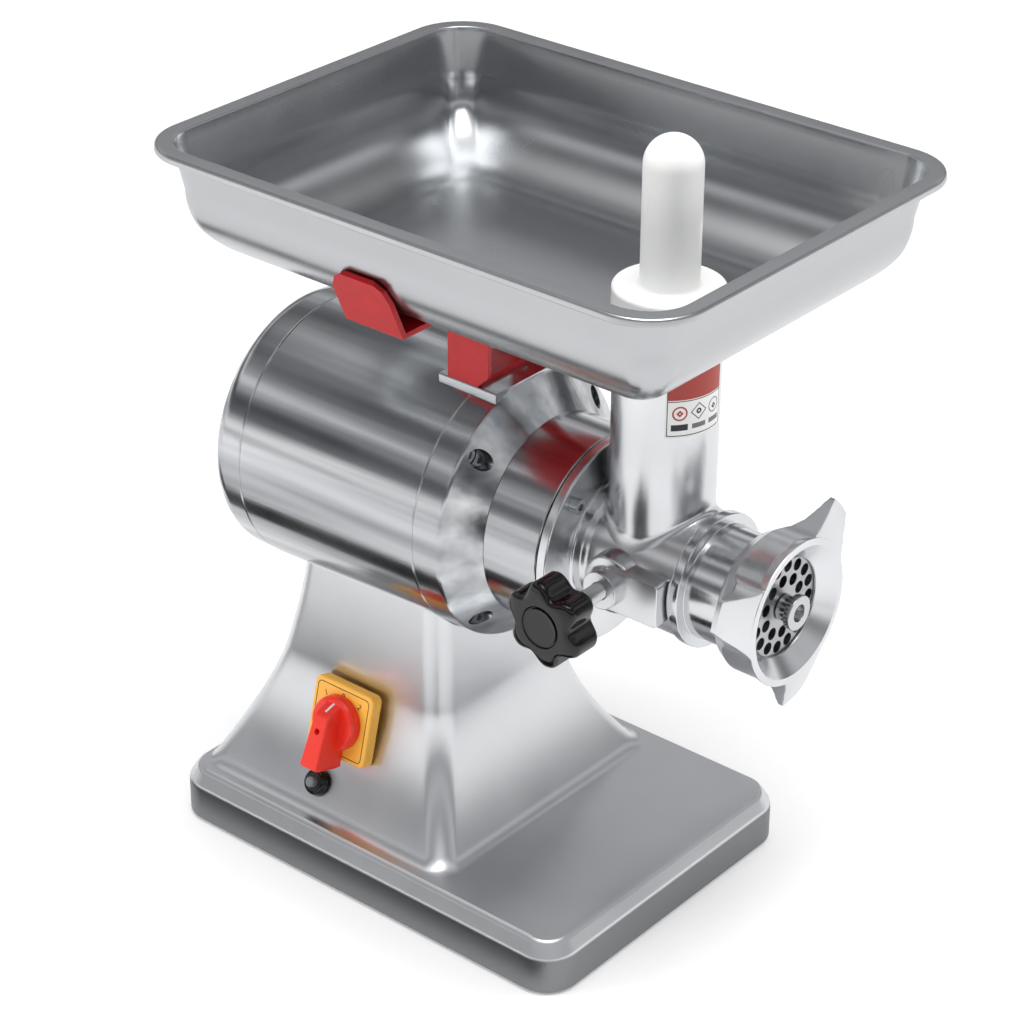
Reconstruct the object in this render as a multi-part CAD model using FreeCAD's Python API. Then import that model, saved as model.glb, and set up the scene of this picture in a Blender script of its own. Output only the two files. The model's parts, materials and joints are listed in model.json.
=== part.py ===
"""Electric bench meat grinder, modelled in millimetres, one STEP file per sub-part.

Frame: +Z up, the outlet faces -Y, the switch and the lock knob are on the -X side.
Stations along Y are measured from the middle of the base and moved by SHIFT_Y when the
shapes are written, which puts the origin under the middle of the whole machine's box.
"""
import FreeCAD, Part
import math
import os

# ---------------------------------------------------------------- driving dimensions
# Pedestal
BASE_W = 220.0            # base width, along X
BASE_L = 295.0            # base length, along Y
BASE_R = 21.0             # corner radius in plan
BASE_LIFT = 1.5           # feet hold the casting this far off the table
SKIRT_TOP = 24.0          # top of the upright skirt
DECK_Z = 34.0             # top of the slab
DECK_INSET = 5.5          # the bevel draws in by this much
WALL = 6.0                # wall of the castings
COLUMN_HALF = 60.5        # column half width above the flare
COLUMN_FRONT = -22.5      # front face of the column
COLUMN_REAR = 84.0        # rear face of the column, near its top
FLARE_SIDE = 34.0         # how far the flare spreads at the deck: each side, front and rear
FLARE_FRONT = 31.5
FLARE_REAR = 54.0
FLARE_TOP = 112.0         # the side and front flares start here
REAR_FLARE_TOP = 190.0    # the rear face flares over its whole height
COLUMN_R = 13.0           # corner radius of the column
FOOT_SPOTS = [(sx * 86.0, sy * 122.0) for sx in (-1, 1) for sy in (-1, 1)]
BOLT_SPOTS = [(sx * 34.0, y) for y in (2.0, 66.0) for sx in (-1, 1)]

# Motor and gear axis
AXIS_Z = 233.1
CASE_R_REAR = 81.4        # motor casing radius at the rear seam
CASE_R_FRONT = 79.1       # and at the gear cover
CASE_REAR = 110.5
CASE_FRONT = -19.1
COVER_FRONT = -37.0       # end of the gear cover's cylinder
CONE_END = -54.0
NOSE_R = 60.0
NOSE_FRONT = -91.0
END_BELL_REAR = 133.0
PAD_HALF = 29.0           # half width of the mounting pad on top
PAD_Z = 312.2
PAD_REAR = 4.0            # the pad ends here and the round casing runs on
ROTOR_FRONT = -33.0       # front end of the rotor shaft
CASE_BORE = 74.0
COVER_BORE = 64.0
CASE_SCREWS_R = 70.5      # the covers' screws sit on this radius
ROOF_R = CASE_R_REAR + WALL + 2.0     # the column's hollow stops at this radius
STACK_FRONT = 16.0        # laminated cores of the motor
STACK_REAR = 84.0

# Head
FLANGE_R = 60.7
FLANGE_REAR = -92.2
FLANGE_FRONT = -98.0
FLANGE_SCREWS_R = 50.0    # the flange's screws sit on this radius
HUB_R = 37.9
HEAD_R = 36.5             # outside of the horizontal head
HEAD_BORE = 31.3
HEAD_FRONT = -164.0
TUBE_Y = -130.4
TUBE_R = 29.1
TUBE_BORE = 25.0
TUBE_TOP = 377.6
LOCK_Y = -128.0           # axis of the lock screw
LOCK_R = 4.95
KNOB_FACE = -103.0        # the knob's outer and inner faces, along X
KNOB_BACK = -84.0
KNOB_R = 22.4             # mean radius; the lobes swing either side of it
KNOB_LOBE = 2.7

# Barrel and cutting set
BARREL_R = 31.0
BARREL_BORE = 26.2
COLLAR_R = 38.5
COLLAR_REAR = -164.8
COLLAR_FRONT = -170.6
NECK_R = 32.5
THREAD_R = 33.0
BARREL_FRONT = -209.0
PLATE_R = 31.0
PLATE_REAR = -206.0
PLATE_FRONT = -212.0
NUT_REAR = -194.4
NUT_FRONT = -222.0
NUT_R_REAR = 37.4
NUT_R_FRONT = 42.1
WING_TIP_R = 64.0
WING_SWEEP = 8.6          # the tips stand this far back from the nut's front face
AUGER_R = 25.5
AUGER_PITCH = 27.0

# Gear train, module and teeth
MOD_1 = 1.25
TEETH_ROTOR = 12
TEETH_LAY_BIG = 42
MOD_2 = 1.5
TEETH_LAY_SMALL = 13
TEETH_OUTPUT = 32
GEAR_CENTRES = MOD_1 * (TEETH_ROTOR + TEETH_LAY_BIG) / 2.0
LAY_Z = AXIS_Z - GEAR_CENTRES
BUSH_R = 8.0              # outside of the lay shaft's bushes

# Feed pan
PAN_HALF_W = 133.7
PAN_FRONT = -226.0
PAN_REAR = 131.5
PAN_RIM_Z = 446.7
PAN_FLOOR_Z = 378.0       # underside of the floor
PAN_SHEET = 1.0
PAN_RIM_W = 9.8
PAN_DRAFT = 0.21
PAN_EDGE_R = 42.0         # radius between wall and floor
PAN_CORNER_R = 25.0
PAN_COLLAR_R = 24.6

# Pan support, from front to rear along Y
SUPPORT_FRONT = -31.0
SUPPORT_REAR = -2.0
WEB_CUT = 7.5             # corner cut off the webs at the front of the foot
SHELF_FRONT = -40.0
SHELF_REAR = 0.0
EAR_TOP = 409.4           # the shelf's upturned ends
SUPPORT_SCREWS = [(sx * 16.0, y) for y in (-17.0, -7.0) for sx in (-1, 1)]

# Stomper
STOMPER_HANDLE_R = 15.9
STOMPER_DISC_R = 30.4
STOMPER_DISC_TOP = 396.5
STOMPER_TOP = 479.5

# Switch and reset, on the sloping side of the column
SWITCH_Y = 41.5
SWITCH_Z = 89.0
SWITCH_X = -68.4          # back of the dial plate at its middle
SWITCH_TILT = 14.3        # degrees
SWITCH_SIDE = 45.0
RESET_Y = 51.7
RESET_Z = 48.5
RESET_X = -84.6
RESET_TILT = 28.0

# Inlet gland, in the rear wall of the column
GLAND_X = 45.0
GLAND_Z = 70.0
GLAND_SEAT = 124.0

# Run capacitor inside the pedestal
CAN_X = 24.0
CAN_Z = 60.0

SHIFT_Y = 39.25           # moves the box's middle onto the origin

V = FreeCAD.Vector
UP = V(0, 0, 1)
ALONG_Y = V(0, 1, 0)


# ---------------------------------------------------------------- helpers
def save(node, shape):
    """Move a shape into the machine's frame and write it as its own STEP file."""
    moved = shape.copy()
    moved.translate(V(0, SHIFT_Y, 0))
    if not moved.isValid():
        print("not valid:", node)
    moved.exportStep("parts/" + node + ".step")
    print("%-24s solids %2d  volume %.1f cm3" % (node, len(moved.Solids), moved.Volume / 1000.0))


def group(shapes):
    return Part.makeCompound(shapes)


def box(x0, x1, y0, y1, z0, z1):
    return Part.makeBox(x1 - x0, y1 - y0, z1 - z0, V(x0, y0, z0))


def rod_x(r, x0, x1, y, z):
    return Part.makeCylinder(r, x1 - x0, V(x0, y, z), V(1, 0, 0))


def rod_y(r, y0, y1, x=0.0, z=AXIS_Z):
    return Part.makeCylinder(r, y1 - y0, V(x, y0, z), ALONG_Y)


def rod_z(r, z0, z1, x, y):
    return Part.makeCylinder(r, z1 - z0, V(x, y, z0), UP)


def ring_y(r_out, r_in, y0, y1, x=0.0, z=AXIS_Z):
    return rod_y(r_out, y0, y1, x, z).cut(rod_y(r_in, y0 - 1, y1 + 1, x, z))


def spun_y(profile, x=0.0, z=AXIS_Z):
    """Solid of revolution about an axis along Y, from (radius, y) points."""
    points = [V(x + r, y, z) for r, y in profile]
    wire = Part.makePolygon(points + [points[0]])
    return Part.Face(wire).revolve(V(x, 0, z), ALONG_Y, 360)


def spun_z(profile, x, y):
    """Solid of revolution about a vertical axis, from (radius, z) points."""
    points = [V(x + r, y, z) for r, z in profile]
    wire = Part.makePolygon(points + [points[0]])
    return Part.Face(wire).revolve(V(x, y, 0), UP, 360)


def arc_points(cr, cy, r, start, end, steps):
    """Points of a circular arc, angles in degrees."""
    out = []
    for i in range(steps + 1):
        a = math.radians(start + (end - start) * i / steps)
        out.append((cr + r * math.cos(a), cy + r * math.sin(a)))
    return out


def rounded_wire(x0, x1, y0, y1, r, z):
    """Rounded rectangle in a level plane."""
    k = r * (1 - math.sqrt(0.5))
    edges = []
    corners = [
        (V(x1, y0 + r, z), V(x1, y1 - r, z), V(x1 - k, y1 - k, z), V(x1 - r, y1, z)),
        (V(x1 - r, y1, z), V(x0 + r, y1, z), V(x0 + k, y1 - k, z), V(x0, y1 - r, z)),
        (V(x0, y1 - r, z), V(x0, y0 + r, z), V(x0 + k, y0 + k, z), V(x0 + r, y0, z)),
        (V(x0 + r, y0, z), V(x1 - r, y0, z), V(x1 - k, y0 + k, z), V(x1, y0 + r, z)),
    ]
    for start, end, mid, last in corners:
        edges.append(Part.makeLine(start, end))
        edges.append(Part.Arc(end, mid, last).toShape())
    return Part.Wire(edges)


def rounded_slab(x0, x1, y0, y1, r, z0, z1):
    return Part.Face(rounded_wire(x0, x1, y0, y1, r, z0)).extrude(V(0, 0, z1 - z0))


def loft(wires, ruled=False):
    return Part.makeLoft(wires, True, ruled)


def round_edges(shape, r, picks):
    """Fillet the picked edges and keep the plain shape where that is not possible."""
    try:
        done = shape.makeFillet(r, picks)
    except Exception:
        return shape
    if done.isValid() and done.Volume > 0.5 * shape.Volume:
        return done
    return shape


def turned(shape, angle):
    """Copy of a shape turned about the machine's axis, degrees."""
    out = shape.copy()
    out.rotate(V(0, 0, AXIS_Z), ALONG_Y, -angle)
    return out


def polar(r, angle):
    """X and Z at a radius and angle round the machine's axis, 0 at +X and 90 at the top."""
    a = math.radians(angle)
    return r * math.cos(a), AXIS_Z + r * math.sin(a)


def tilted(shape, tilt, x, y, z):
    """Turn a part built along -X so that it looks up by the tilt, and place it."""
    out = shape.copy()
    out.rotate(V(0, 0, 0), ALONG_Y, tilt)
    out.translate(V(x, y, z))
    return out


def spur_gear(module, teeth, y0, y1, z, toward, bore, gap=False):
    """Stub involute gear about an axis along Y; a tooth, or a gap, points toward an angle."""
    pitch_r = module * teeth / 2.0
    base_r = pitch_r * math.cos(math.radians(20))
    root_r = pitch_r - 1.1 * module
    tip_r = pitch_r + 0.8 * module
    slack = 0.05 * math.pi / teeth
    inv_20 = math.tan(math.radians(20)) - math.radians(20)
    flank = []
    low = max(base_r, root_r + 0.05 * module)
    for i in range(4):
        r = low + (tip_r - low) * i / 3.0
        a = math.acos(min(1.0, base_r / r))
        flank.append((r, math.pi / (2 * teeth) - slack + inv_20 - (math.tan(a) - a)))
    first = (root_r, flank[0][1])
    half = [first] + flank
    start = math.radians(toward) + (math.pi / teeth if gap else 0.0)
    points = []
    for k in range(teeth):
        mid = start + 2 * math.pi * k / teeth
        for r, w in half:
            points.append(V(r * math.cos(mid - w), y0, z + r * math.sin(mid - w)))
        for r, w in reversed(half):
            points.append(V(r * math.cos(mid + w), y0, z + r * math.sin(mid + w)))
    wheel = Part.Face(Part.makePolygon(points + [points[0]])).extrude(V(0, y1 - y0, 0))
    return wheel.cut(rod_y(bore, y0 - 1, y1 + 1, 0, z))


def cap_screw_y(head_r, head_l, shank_r, shank_l, x, y, z):
    """Socket cap screw along Y; its head's face is at y and looks to -Y."""
    head = rod_y(head_r, y, y + head_l, x, z)
    shank = rod_y(shank_r, y + head_l, y + head_l + shank_l, x, z)
    points = []
    for i in range(7):
        a = math.radians(60 * i)
        points.append(V(x + 0.55 * head_r * math.cos(a), y - 1, z + 0.55 * head_r * math.sin(a)))
    socket = Part.Face(Part.makePolygon(points)).extrude(V(0, 1 + 0.6 * head_l, 0))
    return head.fuse(shank).cut(socket).removeSplitter()


# ---------------------------------------------------------------- pedestal
def flare(z, top, power=1.75):
    """0 above the flare, 1 at the deck."""
    t = max(0.0, min(1.0, (top - z) / (top - DECK_Z)))
    return t ** power


def column_section(z, inset):
    half = COLUMN_HALF + FLARE_SIDE * flare(z, FLARE_TOP) - inset
    front = COLUMN_FRONT - FLARE_FRONT * flare(z, FLARE_TOP) + inset
    rear = COLUMN_REAR + FLARE_REAR * flare(z, REAR_FLARE_TOP, 1.35) - inset
    return rounded_wire(-half, half, front, rear, COLUMN_R - 0.6 * inset, z)


def column(inset, low, high):
    steps = 15
    levels = [low + (high - low) * i / steps for i in range(steps + 1)]
    return loft([column_section(z, inset) for z in levels])


def pedestal_casting():
    half_w = BASE_W / 2
    half_l = BASE_L / 2
    skirt = rounded_slab(-half_w, half_w, -half_l, half_l, BASE_R, BASE_LIFT, SKIRT_TOP)
    w = half_w - DECK_INSET
    d = half_l - DECK_INSET
    bevel = loft([rounded_wire(-half_w, half_w, -half_l, half_l, BASE_R, SKIRT_TOP),
                  rounded_wire(-w, w, -d, d, BASE_R - DECK_INSET, DECK_Z - 1.2)], True)
    lid = loft([rounded_wire(-w, w, -d, d, BASE_R - DECK_INSET, DECK_Z - 1.2),
                rounded_wire(-w + 1.6, w - 1.6, -d + 1.6, d - 1.6, BASE_R - DECK_INSET - 1.6,
                             DECK_Z)], True)
    body = skirt.fuse(bevel).fuse(lid).fuse(column(0.0, DECK_Z - 8, 205))
    pocket = rounded_slab(-half_w + WALL, half_w - WALL, -half_l + WALL, half_l - WALL,
                          BASE_R - WALL, BASE_LIFT - 1, DECK_Z - WALL)
    shaft = column(WALL, DECK_Z - 10, 205).cut(rod_y(ROOF_R, -60, 200))
    body = body.cut(pocket).cut(shaft)
    for x, y in FOOT_SPOTS:
        body = body.fuse(rod_z(9.0, 6.0, DECK_Z - WALL + 1, x, y))
        body = body.cut(rod_z(3.0, 0.0, 24.0, x, y))
    fit = 0.02
    cradle = spun_y([(0.0, -60.0), (CASE_R_FRONT + fit, -60.0), (CASE_R_FRONT + fit, CASE_FRONT),
                     (CASE_R_REAR + fit, CASE_REAR), (CASE_R_REAR + fit, 200.0), (0.0, 200.0)])
    body = body.cut(cradle)
    for x, y in BOLT_SPOTS:
        body = body.cut(rod_z(4.1, 120, 200, x, y))
    body = body.cut(rod_z(12.0, 120, 200, 0, 34))
    back = tilted(rod_x(15.2, -20, 30, 0, 0), SWITCH_TILT, SWITCH_X, SWITCH_Y, SWITCH_Z)
    reset = tilted(rod_x(5.6, -12, 20, 0, 0), RESET_TILT, RESET_X, RESET_Y, RESET_Z)
    boss = rod_y(14.0, 104.0, GLAND_SEAT, GLAND_X, GLAND_Z)
    spot_face = rod_y(14.0, GLAND_SEAT, GLAND_SEAT + 26.0, GLAND_X, GLAND_Z)
    inlet = rod_y(8.1, 90.0, 150.0, GLAND_X, GLAND_Z)
    return body.fuse(boss).cut(spot_face).cut(back).cut(reset).cut(inlet)


def bottom_plate():
    gap = WALL + 0.3
    half_w = BASE_W / 2 - gap
    half_l = BASE_L / 2 - gap
    plate = rounded_slab(-half_w, half_w, -half_l, half_l, BASE_R - gap, 4.0, 5.8)
    for x, y in FOOT_SPOTS:
        plate = plate.cut(rod_z(3.2, 3, 7, x, y))
    for i in range(9):
        y = -48.0 + 12.0 * i
        plate = plate.cut(rounded_slab(-40, 40, y - 2.0, y + 2.0, 1.9, 3, 7))
    return plate


def rubber_feet():
    feet = []
    for x, y in FOOT_SPOTS:
        pad = spun_z([(0, 0), (13.0, 0), (14.5, 1.2), (14.0, 3.9), (0, 3.9)], x, y)
        pad = pad.cut(rod_z(5.6, -1, 2.4, x, y)).cut(rod_z(3.1, 2, 5, x, y))
        feet.append(pad)
    return group(feet)


def foot_screws():
    screws = []
    for x, y in FOOT_SPOTS:
        screws.append(rod_z(5.2, 0.6, 2.4, x, y).fuse(rod_z(2.95, 2.4, 20.0, x, y)))
    return group(screws)


def pedestal_bolts():
    bolts = []
    for x, y in BOLT_SPOTS:
        surface = AXIS_Z - math.sqrt(CASE_R_REAR ** 2 - x * x)
        seat = AXIS_Z - math.sqrt(ROOF_R ** 2 - (abs(x) - 6.0) ** 2)
        head = rod_z(6.5, seat - 8.5, seat - 3.0, x, y)
        washer = rod_z(8.0, seat - 3.0, seat - 1.6, x, y)
        bolts.append(head.fuse(washer).fuse(rod_z(4.0, seat - 1.6, surface + 4.0, x, y)))
    return group(bolts)


# ---------------------------------------------------------------- motor casing
def motor_housing():
    seam = 0.5
    outer = [(CASE_R_FRONT - seam, CASE_FRONT), (CASE_R_FRONT, CASE_FRONT + seam),
             (CASE_R_REAR, CASE_REAR - seam), (CASE_R_REAR - seam, CASE_REAR)]
    inner = [(CASE_BORE, CASE_REAR), (CASE_BORE, -7.0), (66.0, -7.0), (66.0, CASE_FRONT)]
    shell = spun_y(outer + inner)
    pad = box(-PAD_HALF, PAD_HALF, CASE_FRONT + 0.3, PAD_REAR, AXIS_Z + 60, PAD_Z)
    shell = shell.fuse(pad.cut(rod_y(CASE_BORE, -40, 140)))
    shell = shell.cut(box(-PAD_HALF, PAD_HALF, -50, PAD_REAR, PAD_Z, PAD_Z + 20))
    for x, y in BOLT_SPOTS:
        shell = shell.cut(rod_z(4.0, 140, AXIS_Z - math.sqrt(CASE_R_REAR ** 2 - x * x) + 4, x, y))
    shell = shell.cut(rod_z(12.0, 140, 165, 0, 34))
    for x, y in SUPPORT_SCREWS:
        shell = shell.cut(rod_z(2.5, PAD_Z - 4.0, PAD_Z + 1, x, y))
    for i in range(4):
        x, z = polar(CASE_SCREWS_R, 45 + 90 * i)
        shell = shell.cut(rod_y(3.0, CASE_FRONT - 1, -8.5, x, z))
        lug = rod_y(6.5, 96.0, CASE_REAR, x, z).common(rod_y(76.0, 90, 120))
        shell = shell.fuse(lug).cut(rod_y(2.5, 98.0, 120.0, x, z))
    return shell.removeSplitter()


def end_bell():
    r = 14.0
    seam = 0.5
    edge = arc_points(CASE_R_REAR - 0.4 - r, END_BELL_REAR - r, r, 0, 90, 8)
    outer = [(CASE_R_REAR - seam, CASE_REAR), (CASE_R_REAR - 0.2, CASE_REAR + seam)] + edge
    hub = [(22.0, END_BELL_REAR), (20.0, END_BELL_REAR - 1.5), (0.0, END_BELL_REAR - 1.5),
           (0.0, END_BELL_REAR - 7.0), (17.5, END_BELL_REAR - 7.0), (17.5, 114.0),
           (23.0, 114.0), (23.0, END_BELL_REAR - 6.0)]
    inner = [(64.0, END_BELL_REAR - 6.0), (CASE_BORE, END_BELL_REAR - 14.0),
             (CASE_BORE, CASE_REAR)]
    bell = spun_y(outer + hub + inner)
    slots = []
    for i in range(16):
        a = 22.5 * i + 11.25
        slot = box(32.0, 56.0, 120, 140, AXIS_Z - 2.0, AXIS_Z + 2.0)
        slots.append(turned(slot, a))
    bell = bell.cut(group(slots))
    for i in range(4):
        x, z = polar(CASE_SCREWS_R, 45 + 90 * i)
        bell = bell.cut(rod_y(2.6, 100, 140, x, z)).cut(rod_y(4.8, 124.0, 140, x, z))
        boss = ring_y(6.0, 2.6, CASE_REAR, 124.0, x, z).common(rod_y(76.5, 100, 130))
        bell = bell.fuse(boss)
    return bell.removeSplitter()


def end_bell_screws():
    screws = []
    for i in range(4):
        x, z = polar(CASE_SCREWS_R, 45 + 90 * i)
        screws.append(rod_y(4.5, 124.0, 128.0, x, z).fuse(rod_y(2.45, 100.0, 124.0, x, z)))
    return group(screws)


def bearing_plate():
    plate = rod_y(65.9, CASE_FRONT, -7.2)
    plate = plate.cut(rod_y(17.5, CASE_FRONT + 1.2, 0)).cut(rod_y(12.0, -30, 0))
    return plate.cut(rod_y(BUSH_R, CASE_FRONT - 1, -11.0, 0, LAY_Z))


def gear_cover():
    seam = 0.5
    outer = [(CASE_R_FRONT - seam, CASE_FRONT), (CASE_R_FRONT, CASE_FRONT - seam),
             (CASE_R_FRONT - 0.5, COVER_FRONT + 0.8), (CASE_R_FRONT - 1.2, COVER_FRONT),
             (NOSE_R - 0.3, CONE_END)]
    inner = [(54.0, CONE_END), (54.0, -48.0), (COVER_BORE, -36.0), (COVER_BORE, CASE_FRONT)]
    shell = spun_y(outer + inner)
    pad = box(-PAD_HALF, PAD_HALF, COVER_FRONT, CASE_FRONT - 0.3, AXIS_Z + 60, PAD_Z)
    shell = shell.fuse(pad.cut(rod_y(COVER_BORE, -60, 40)))
    shell = shell.cut(box(-100, 100, -60, 20, PAD_Z, PAD_Z + 20))
    for i in range(4):
        x, z = polar(CASE_SCREWS_R, 45 + 90 * i)
        shell = shell.cut(rod_y(5.6, -80, -30, x, z)).cut(rod_y(3.1, -60, 0, x, z))
    for x, y in SUPPORT_SCREWS:
        shell = shell.cut(rod_z(2.5, PAD_Z - 4.0, PAD_Z + 1, x, y))
    return shell.removeSplitter()


def gear_cover_screws():
    screws = []
    for i in range(4):
        x, z = polar(CASE_SCREWS_R, 45 + 90 * i)
        screws.append(cap_screw_y(5.0, 6.0, 2.95, 20.0, x, -36.0, z))
    return group(screws)


def gearbox_nose():
    profile = [(13.5, CONE_END), (NOSE_R - 0.4, CONE_END), (NOSE_R, CONE_END - 0.4),
               (NOSE_R, NOSE_FRONT + 0.4), (NOSE_R - 0.4, NOSE_FRONT), (26.0, NOSE_FRONT),
               (26.0, -64.9), (13.5, -64.9)]
    nose = spun_y(profile)
    nose = nose.cut(rod_y(BUSH_R, -64.0, -50, 0, LAY_Z))
    for i in range(4):
        x, z = polar(FLANGE_SCREWS_R, 45 + 90 * i)
        nose = nose.cut(rod_y(2.5, NOSE_FRONT - 1, NOSE_FRONT + 16, x, z))
    return nose


def nose_gasket():
    seal = ring_y(NOSE_R - 0.9, 34.0, FLANGE_REAR, NOSE_FRONT)
    for i in range(4):
        x, z = polar(FLANGE_SCREWS_R, 45 + 90 * i)
        seal = seal.cut(rod_y(2.6, -100, -80, x, z))
    return seal


def flange_screws():
    screws = []
    for i in range(4):
        x, z = polar(FLANGE_SCREWS_R, 45 + 90 * i)
        screws.append(cap_screw_y(4.25, 4.6, 2.45, 18.0, x, FLANGE_FRONT - 4.6, z))
    return group(screws)


# ---------------------------------------------------------------- head
def feed_head():
    """Bolted head: flange, horizontal housing, feed tube and the boss of the lock screw."""
    flange = spun_y([(0, FLANGE_REAR), (FLANGE_R - 0.5, FLANGE_REAR), (FLANGE_R, FLANGE_REAR - 0.5),
                     (FLANGE_R, FLANGE_FRONT + 1.2), (FLANGE_R - 1.2, FLANGE_FRONT),
                     (HUB_R + 2.5, FLANGE_FRONT), (HUB_R, FLANGE_FRONT - 2.5), (HUB_R, -104.0),
                     (HEAD_R, -107.0), (HEAD_R, HEAD_FRONT + 0.6), (HEAD_R - 0.6, HEAD_FRONT),
                     (0, HEAD_FRONT)])
    tube = rod_z(TUBE_R, AXIS_Z, TUBE_TOP, 0, TUBE_Y)
    outer = flange.fuse(tube).removeSplitter()
    joints = [e for e in outer.Edges if e.BoundBox.ZMin > AXIS_Z - 1 and e.BoundBox.ZMax < 290
              and e.BoundBox.XLength > 20 and e.BoundBox.YLength > 15]
    outer = round_edges(outer, 5.0, joints)
    pad = rod_x(17.0, -43.0, -10.0, LOCK_Y, AXIS_Z)
    boss = rod_x(11.0, -51.0, -10.0, LOCK_Y, AXIS_Z)
    block = box(-46.0, -15.0, -163.0, LOCK_Y, AXIS_Z - 12.5, AXIS_Z + 13.0)
    rim = [e for e in block.Edges if abs(e.BoundBox.XMin + 46) < 0.1 and e.BoundBox.XLength < 0.1]
    block = round_edges(block, 1.2, rim)
    outer = outer.fuse(pad).fuse(boss).fuse(block)
    outer = outer.cut(rod_y(HEAD_BORE, -200, -60))
    outer = outer.cut(rod_z(TUBE_BORE, AXIS_Z, TUBE_TOP + 1, 0, TUBE_Y))
    outer = outer.cut(rod_x(5.0, -60, 0, LOCK_Y, AXIS_Z))
    for i in range(4):
        x, z = polar(FLANGE_SCREWS_R, 45 + 90 * i)
        outer = outer.cut(rod_y(2.6, -110, -80, x, z))
    return outer.removeSplitter()


def tube_label():
    """Thin sticker bent round the feed tube."""
    sticker = rod_z(TUBE_R + 0.25, 321.0, 366.0, 0, TUBE_Y)
    sticker = sticker.cut(rod_z(TUBE_R, 320, 367, 0, TUBE_Y))
    start = math.radians(-144)
    end = math.radians(-70)
    far = 80.0
    wedge = [V(0, TUBE_Y, 320)]
    for i in range(5):
        a = start + (end - start) * i / 4
        wedge.append(V(far * math.cos(a), TUBE_Y + far * math.sin(a), 320))
    wedge.append(wedge[0])
    return sticker.common(Part.Face(Part.makePolygon(wedge)).extrude(V(0, 0, 50)))


def barrel():
    """Sleeve that pulls out of the head, with its collar, neck and thread."""
    shape = [(BARREL_BORE, -104.0), (BARREL_R, -104.0), (BARREL_R, COLLAR_REAR),
             (COLLAR_R - 0.6, COLLAR_REAR), (COLLAR_R, COLLAR_REAR - 0.6),
             (COLLAR_R, COLLAR_FRONT + 0.8), (COLLAR_R - 0.8, COLLAR_FRONT),
             (NECK_R, COLLAR_FRONT), (NECK_R, NUT_REAR - 0.5)]
    y = NUT_REAR - 0.5
    while y > BARREL_FRONT + 3.5:
        shape += [(THREAD_R, y - 0.8), (THREAD_R, y - 1.7), (THREAD_R - 1.0, y - 2.5),
                  (THREAD_R - 1.0, y - 3.0)]
        y -= 3.0
    shape += [(THREAD_R, y - 0.8), (THREAD_R, BARREL_FRONT), (PLATE_R, BARREL_FRONT),
              (PLATE_R, PLATE_REAR), (BARREL_BORE, PLATE_REAR)]
    sleeve = spun_y(shape)
    sleeve = sleeve.cut(rod_z(TUBE_BORE - 0.6, AXIS_Z + 5, AXIS_Z + 60, 0, TUBE_Y))
    dimple = Part.makeCone(5.2, 3.0, 2.4, V(-BARREL_R - 0.3, LOCK_Y, AXIS_Z), V(1, 0, 0))
    sleeve = sleeve.cut(dimple)
    return sleeve.cut(box(-1.6, 1.6, PLATE_REAR - 4, PLATE_REAR + 0.5, AXIS_Z + PLATE_R - 1.5,
                          AXIS_Z + PLATE_R + 1.0))


def hole_plate():
    plate = rod_y(PLATE_R, PLATE_FRONT, PLATE_REAR).cut(rod_y(5.3, -220, -200))
    holes = []
    for count, r, start in ((16, 23.8, 15.0), (10, 15.6, 21.0)):
        for i in range(count):
            x, z = polar(r, start + 360.0 * i / count)
            holes.append(rod_y(3.5, -220, -200, x, z))
    key = box(-1.4, 1.4, PLATE_REAR - 2.6, PLATE_REAR, AXIS_Z + PLATE_R - 1, AXIS_Z + PLATE_R + 0.8)
    return plate.cut(group(holes)).fuse(key).removeSplitter()


def ring_nut():
    """Wing nut that holds the plate: a dished front rim with three radial wings."""
    lip = 28.2
    body = spun_y([(THREAD_R + 0.35, NUT_REAR), (NUT_R_REAR - 0.8, NUT_REAR),
                   (NUT_R_REAR, NUT_REAR - 0.8), (NUT_R_REAR + 0.8, -205.0),
                   (NUT_R_REAR + 2.4, -214.0), (NUT_R_FRONT, NUT_FRONT + 0.8),
                   (NUT_R_FRONT - 0.8, NUT_FRONT), (37.8, NUT_FRONT),
                   (lip + 0.6, PLATE_FRONT - 2.2), (lip, PLATE_FRONT - 1.6),
                   (lip, PLATE_FRONT - 0.3), (PLATE_R + 0.35, PLATE_FRONT - 0.3),
                   (PLATE_R + 0.35, BARREL_FRONT - 0.4), (THREAD_R + 0.35, BARREL_FRONT - 0.4)])
    core = rod_y(36.0, -225, -190)
    for middle in (41.0, 161.0, 281.0):
        body = body.fuse(wing(middle).cut(core))
    dish = spun_y([(0, NUT_FRONT - 1.0), (37.8, NUT_FRONT - 1.0), (37.8, NUT_FRONT),
                   (lip + 0.6, PLATE_FRONT - 2.2), (0, PLATE_FRONT - 2.2)])
    return body.cut(dish).removeSplitter()


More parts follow.
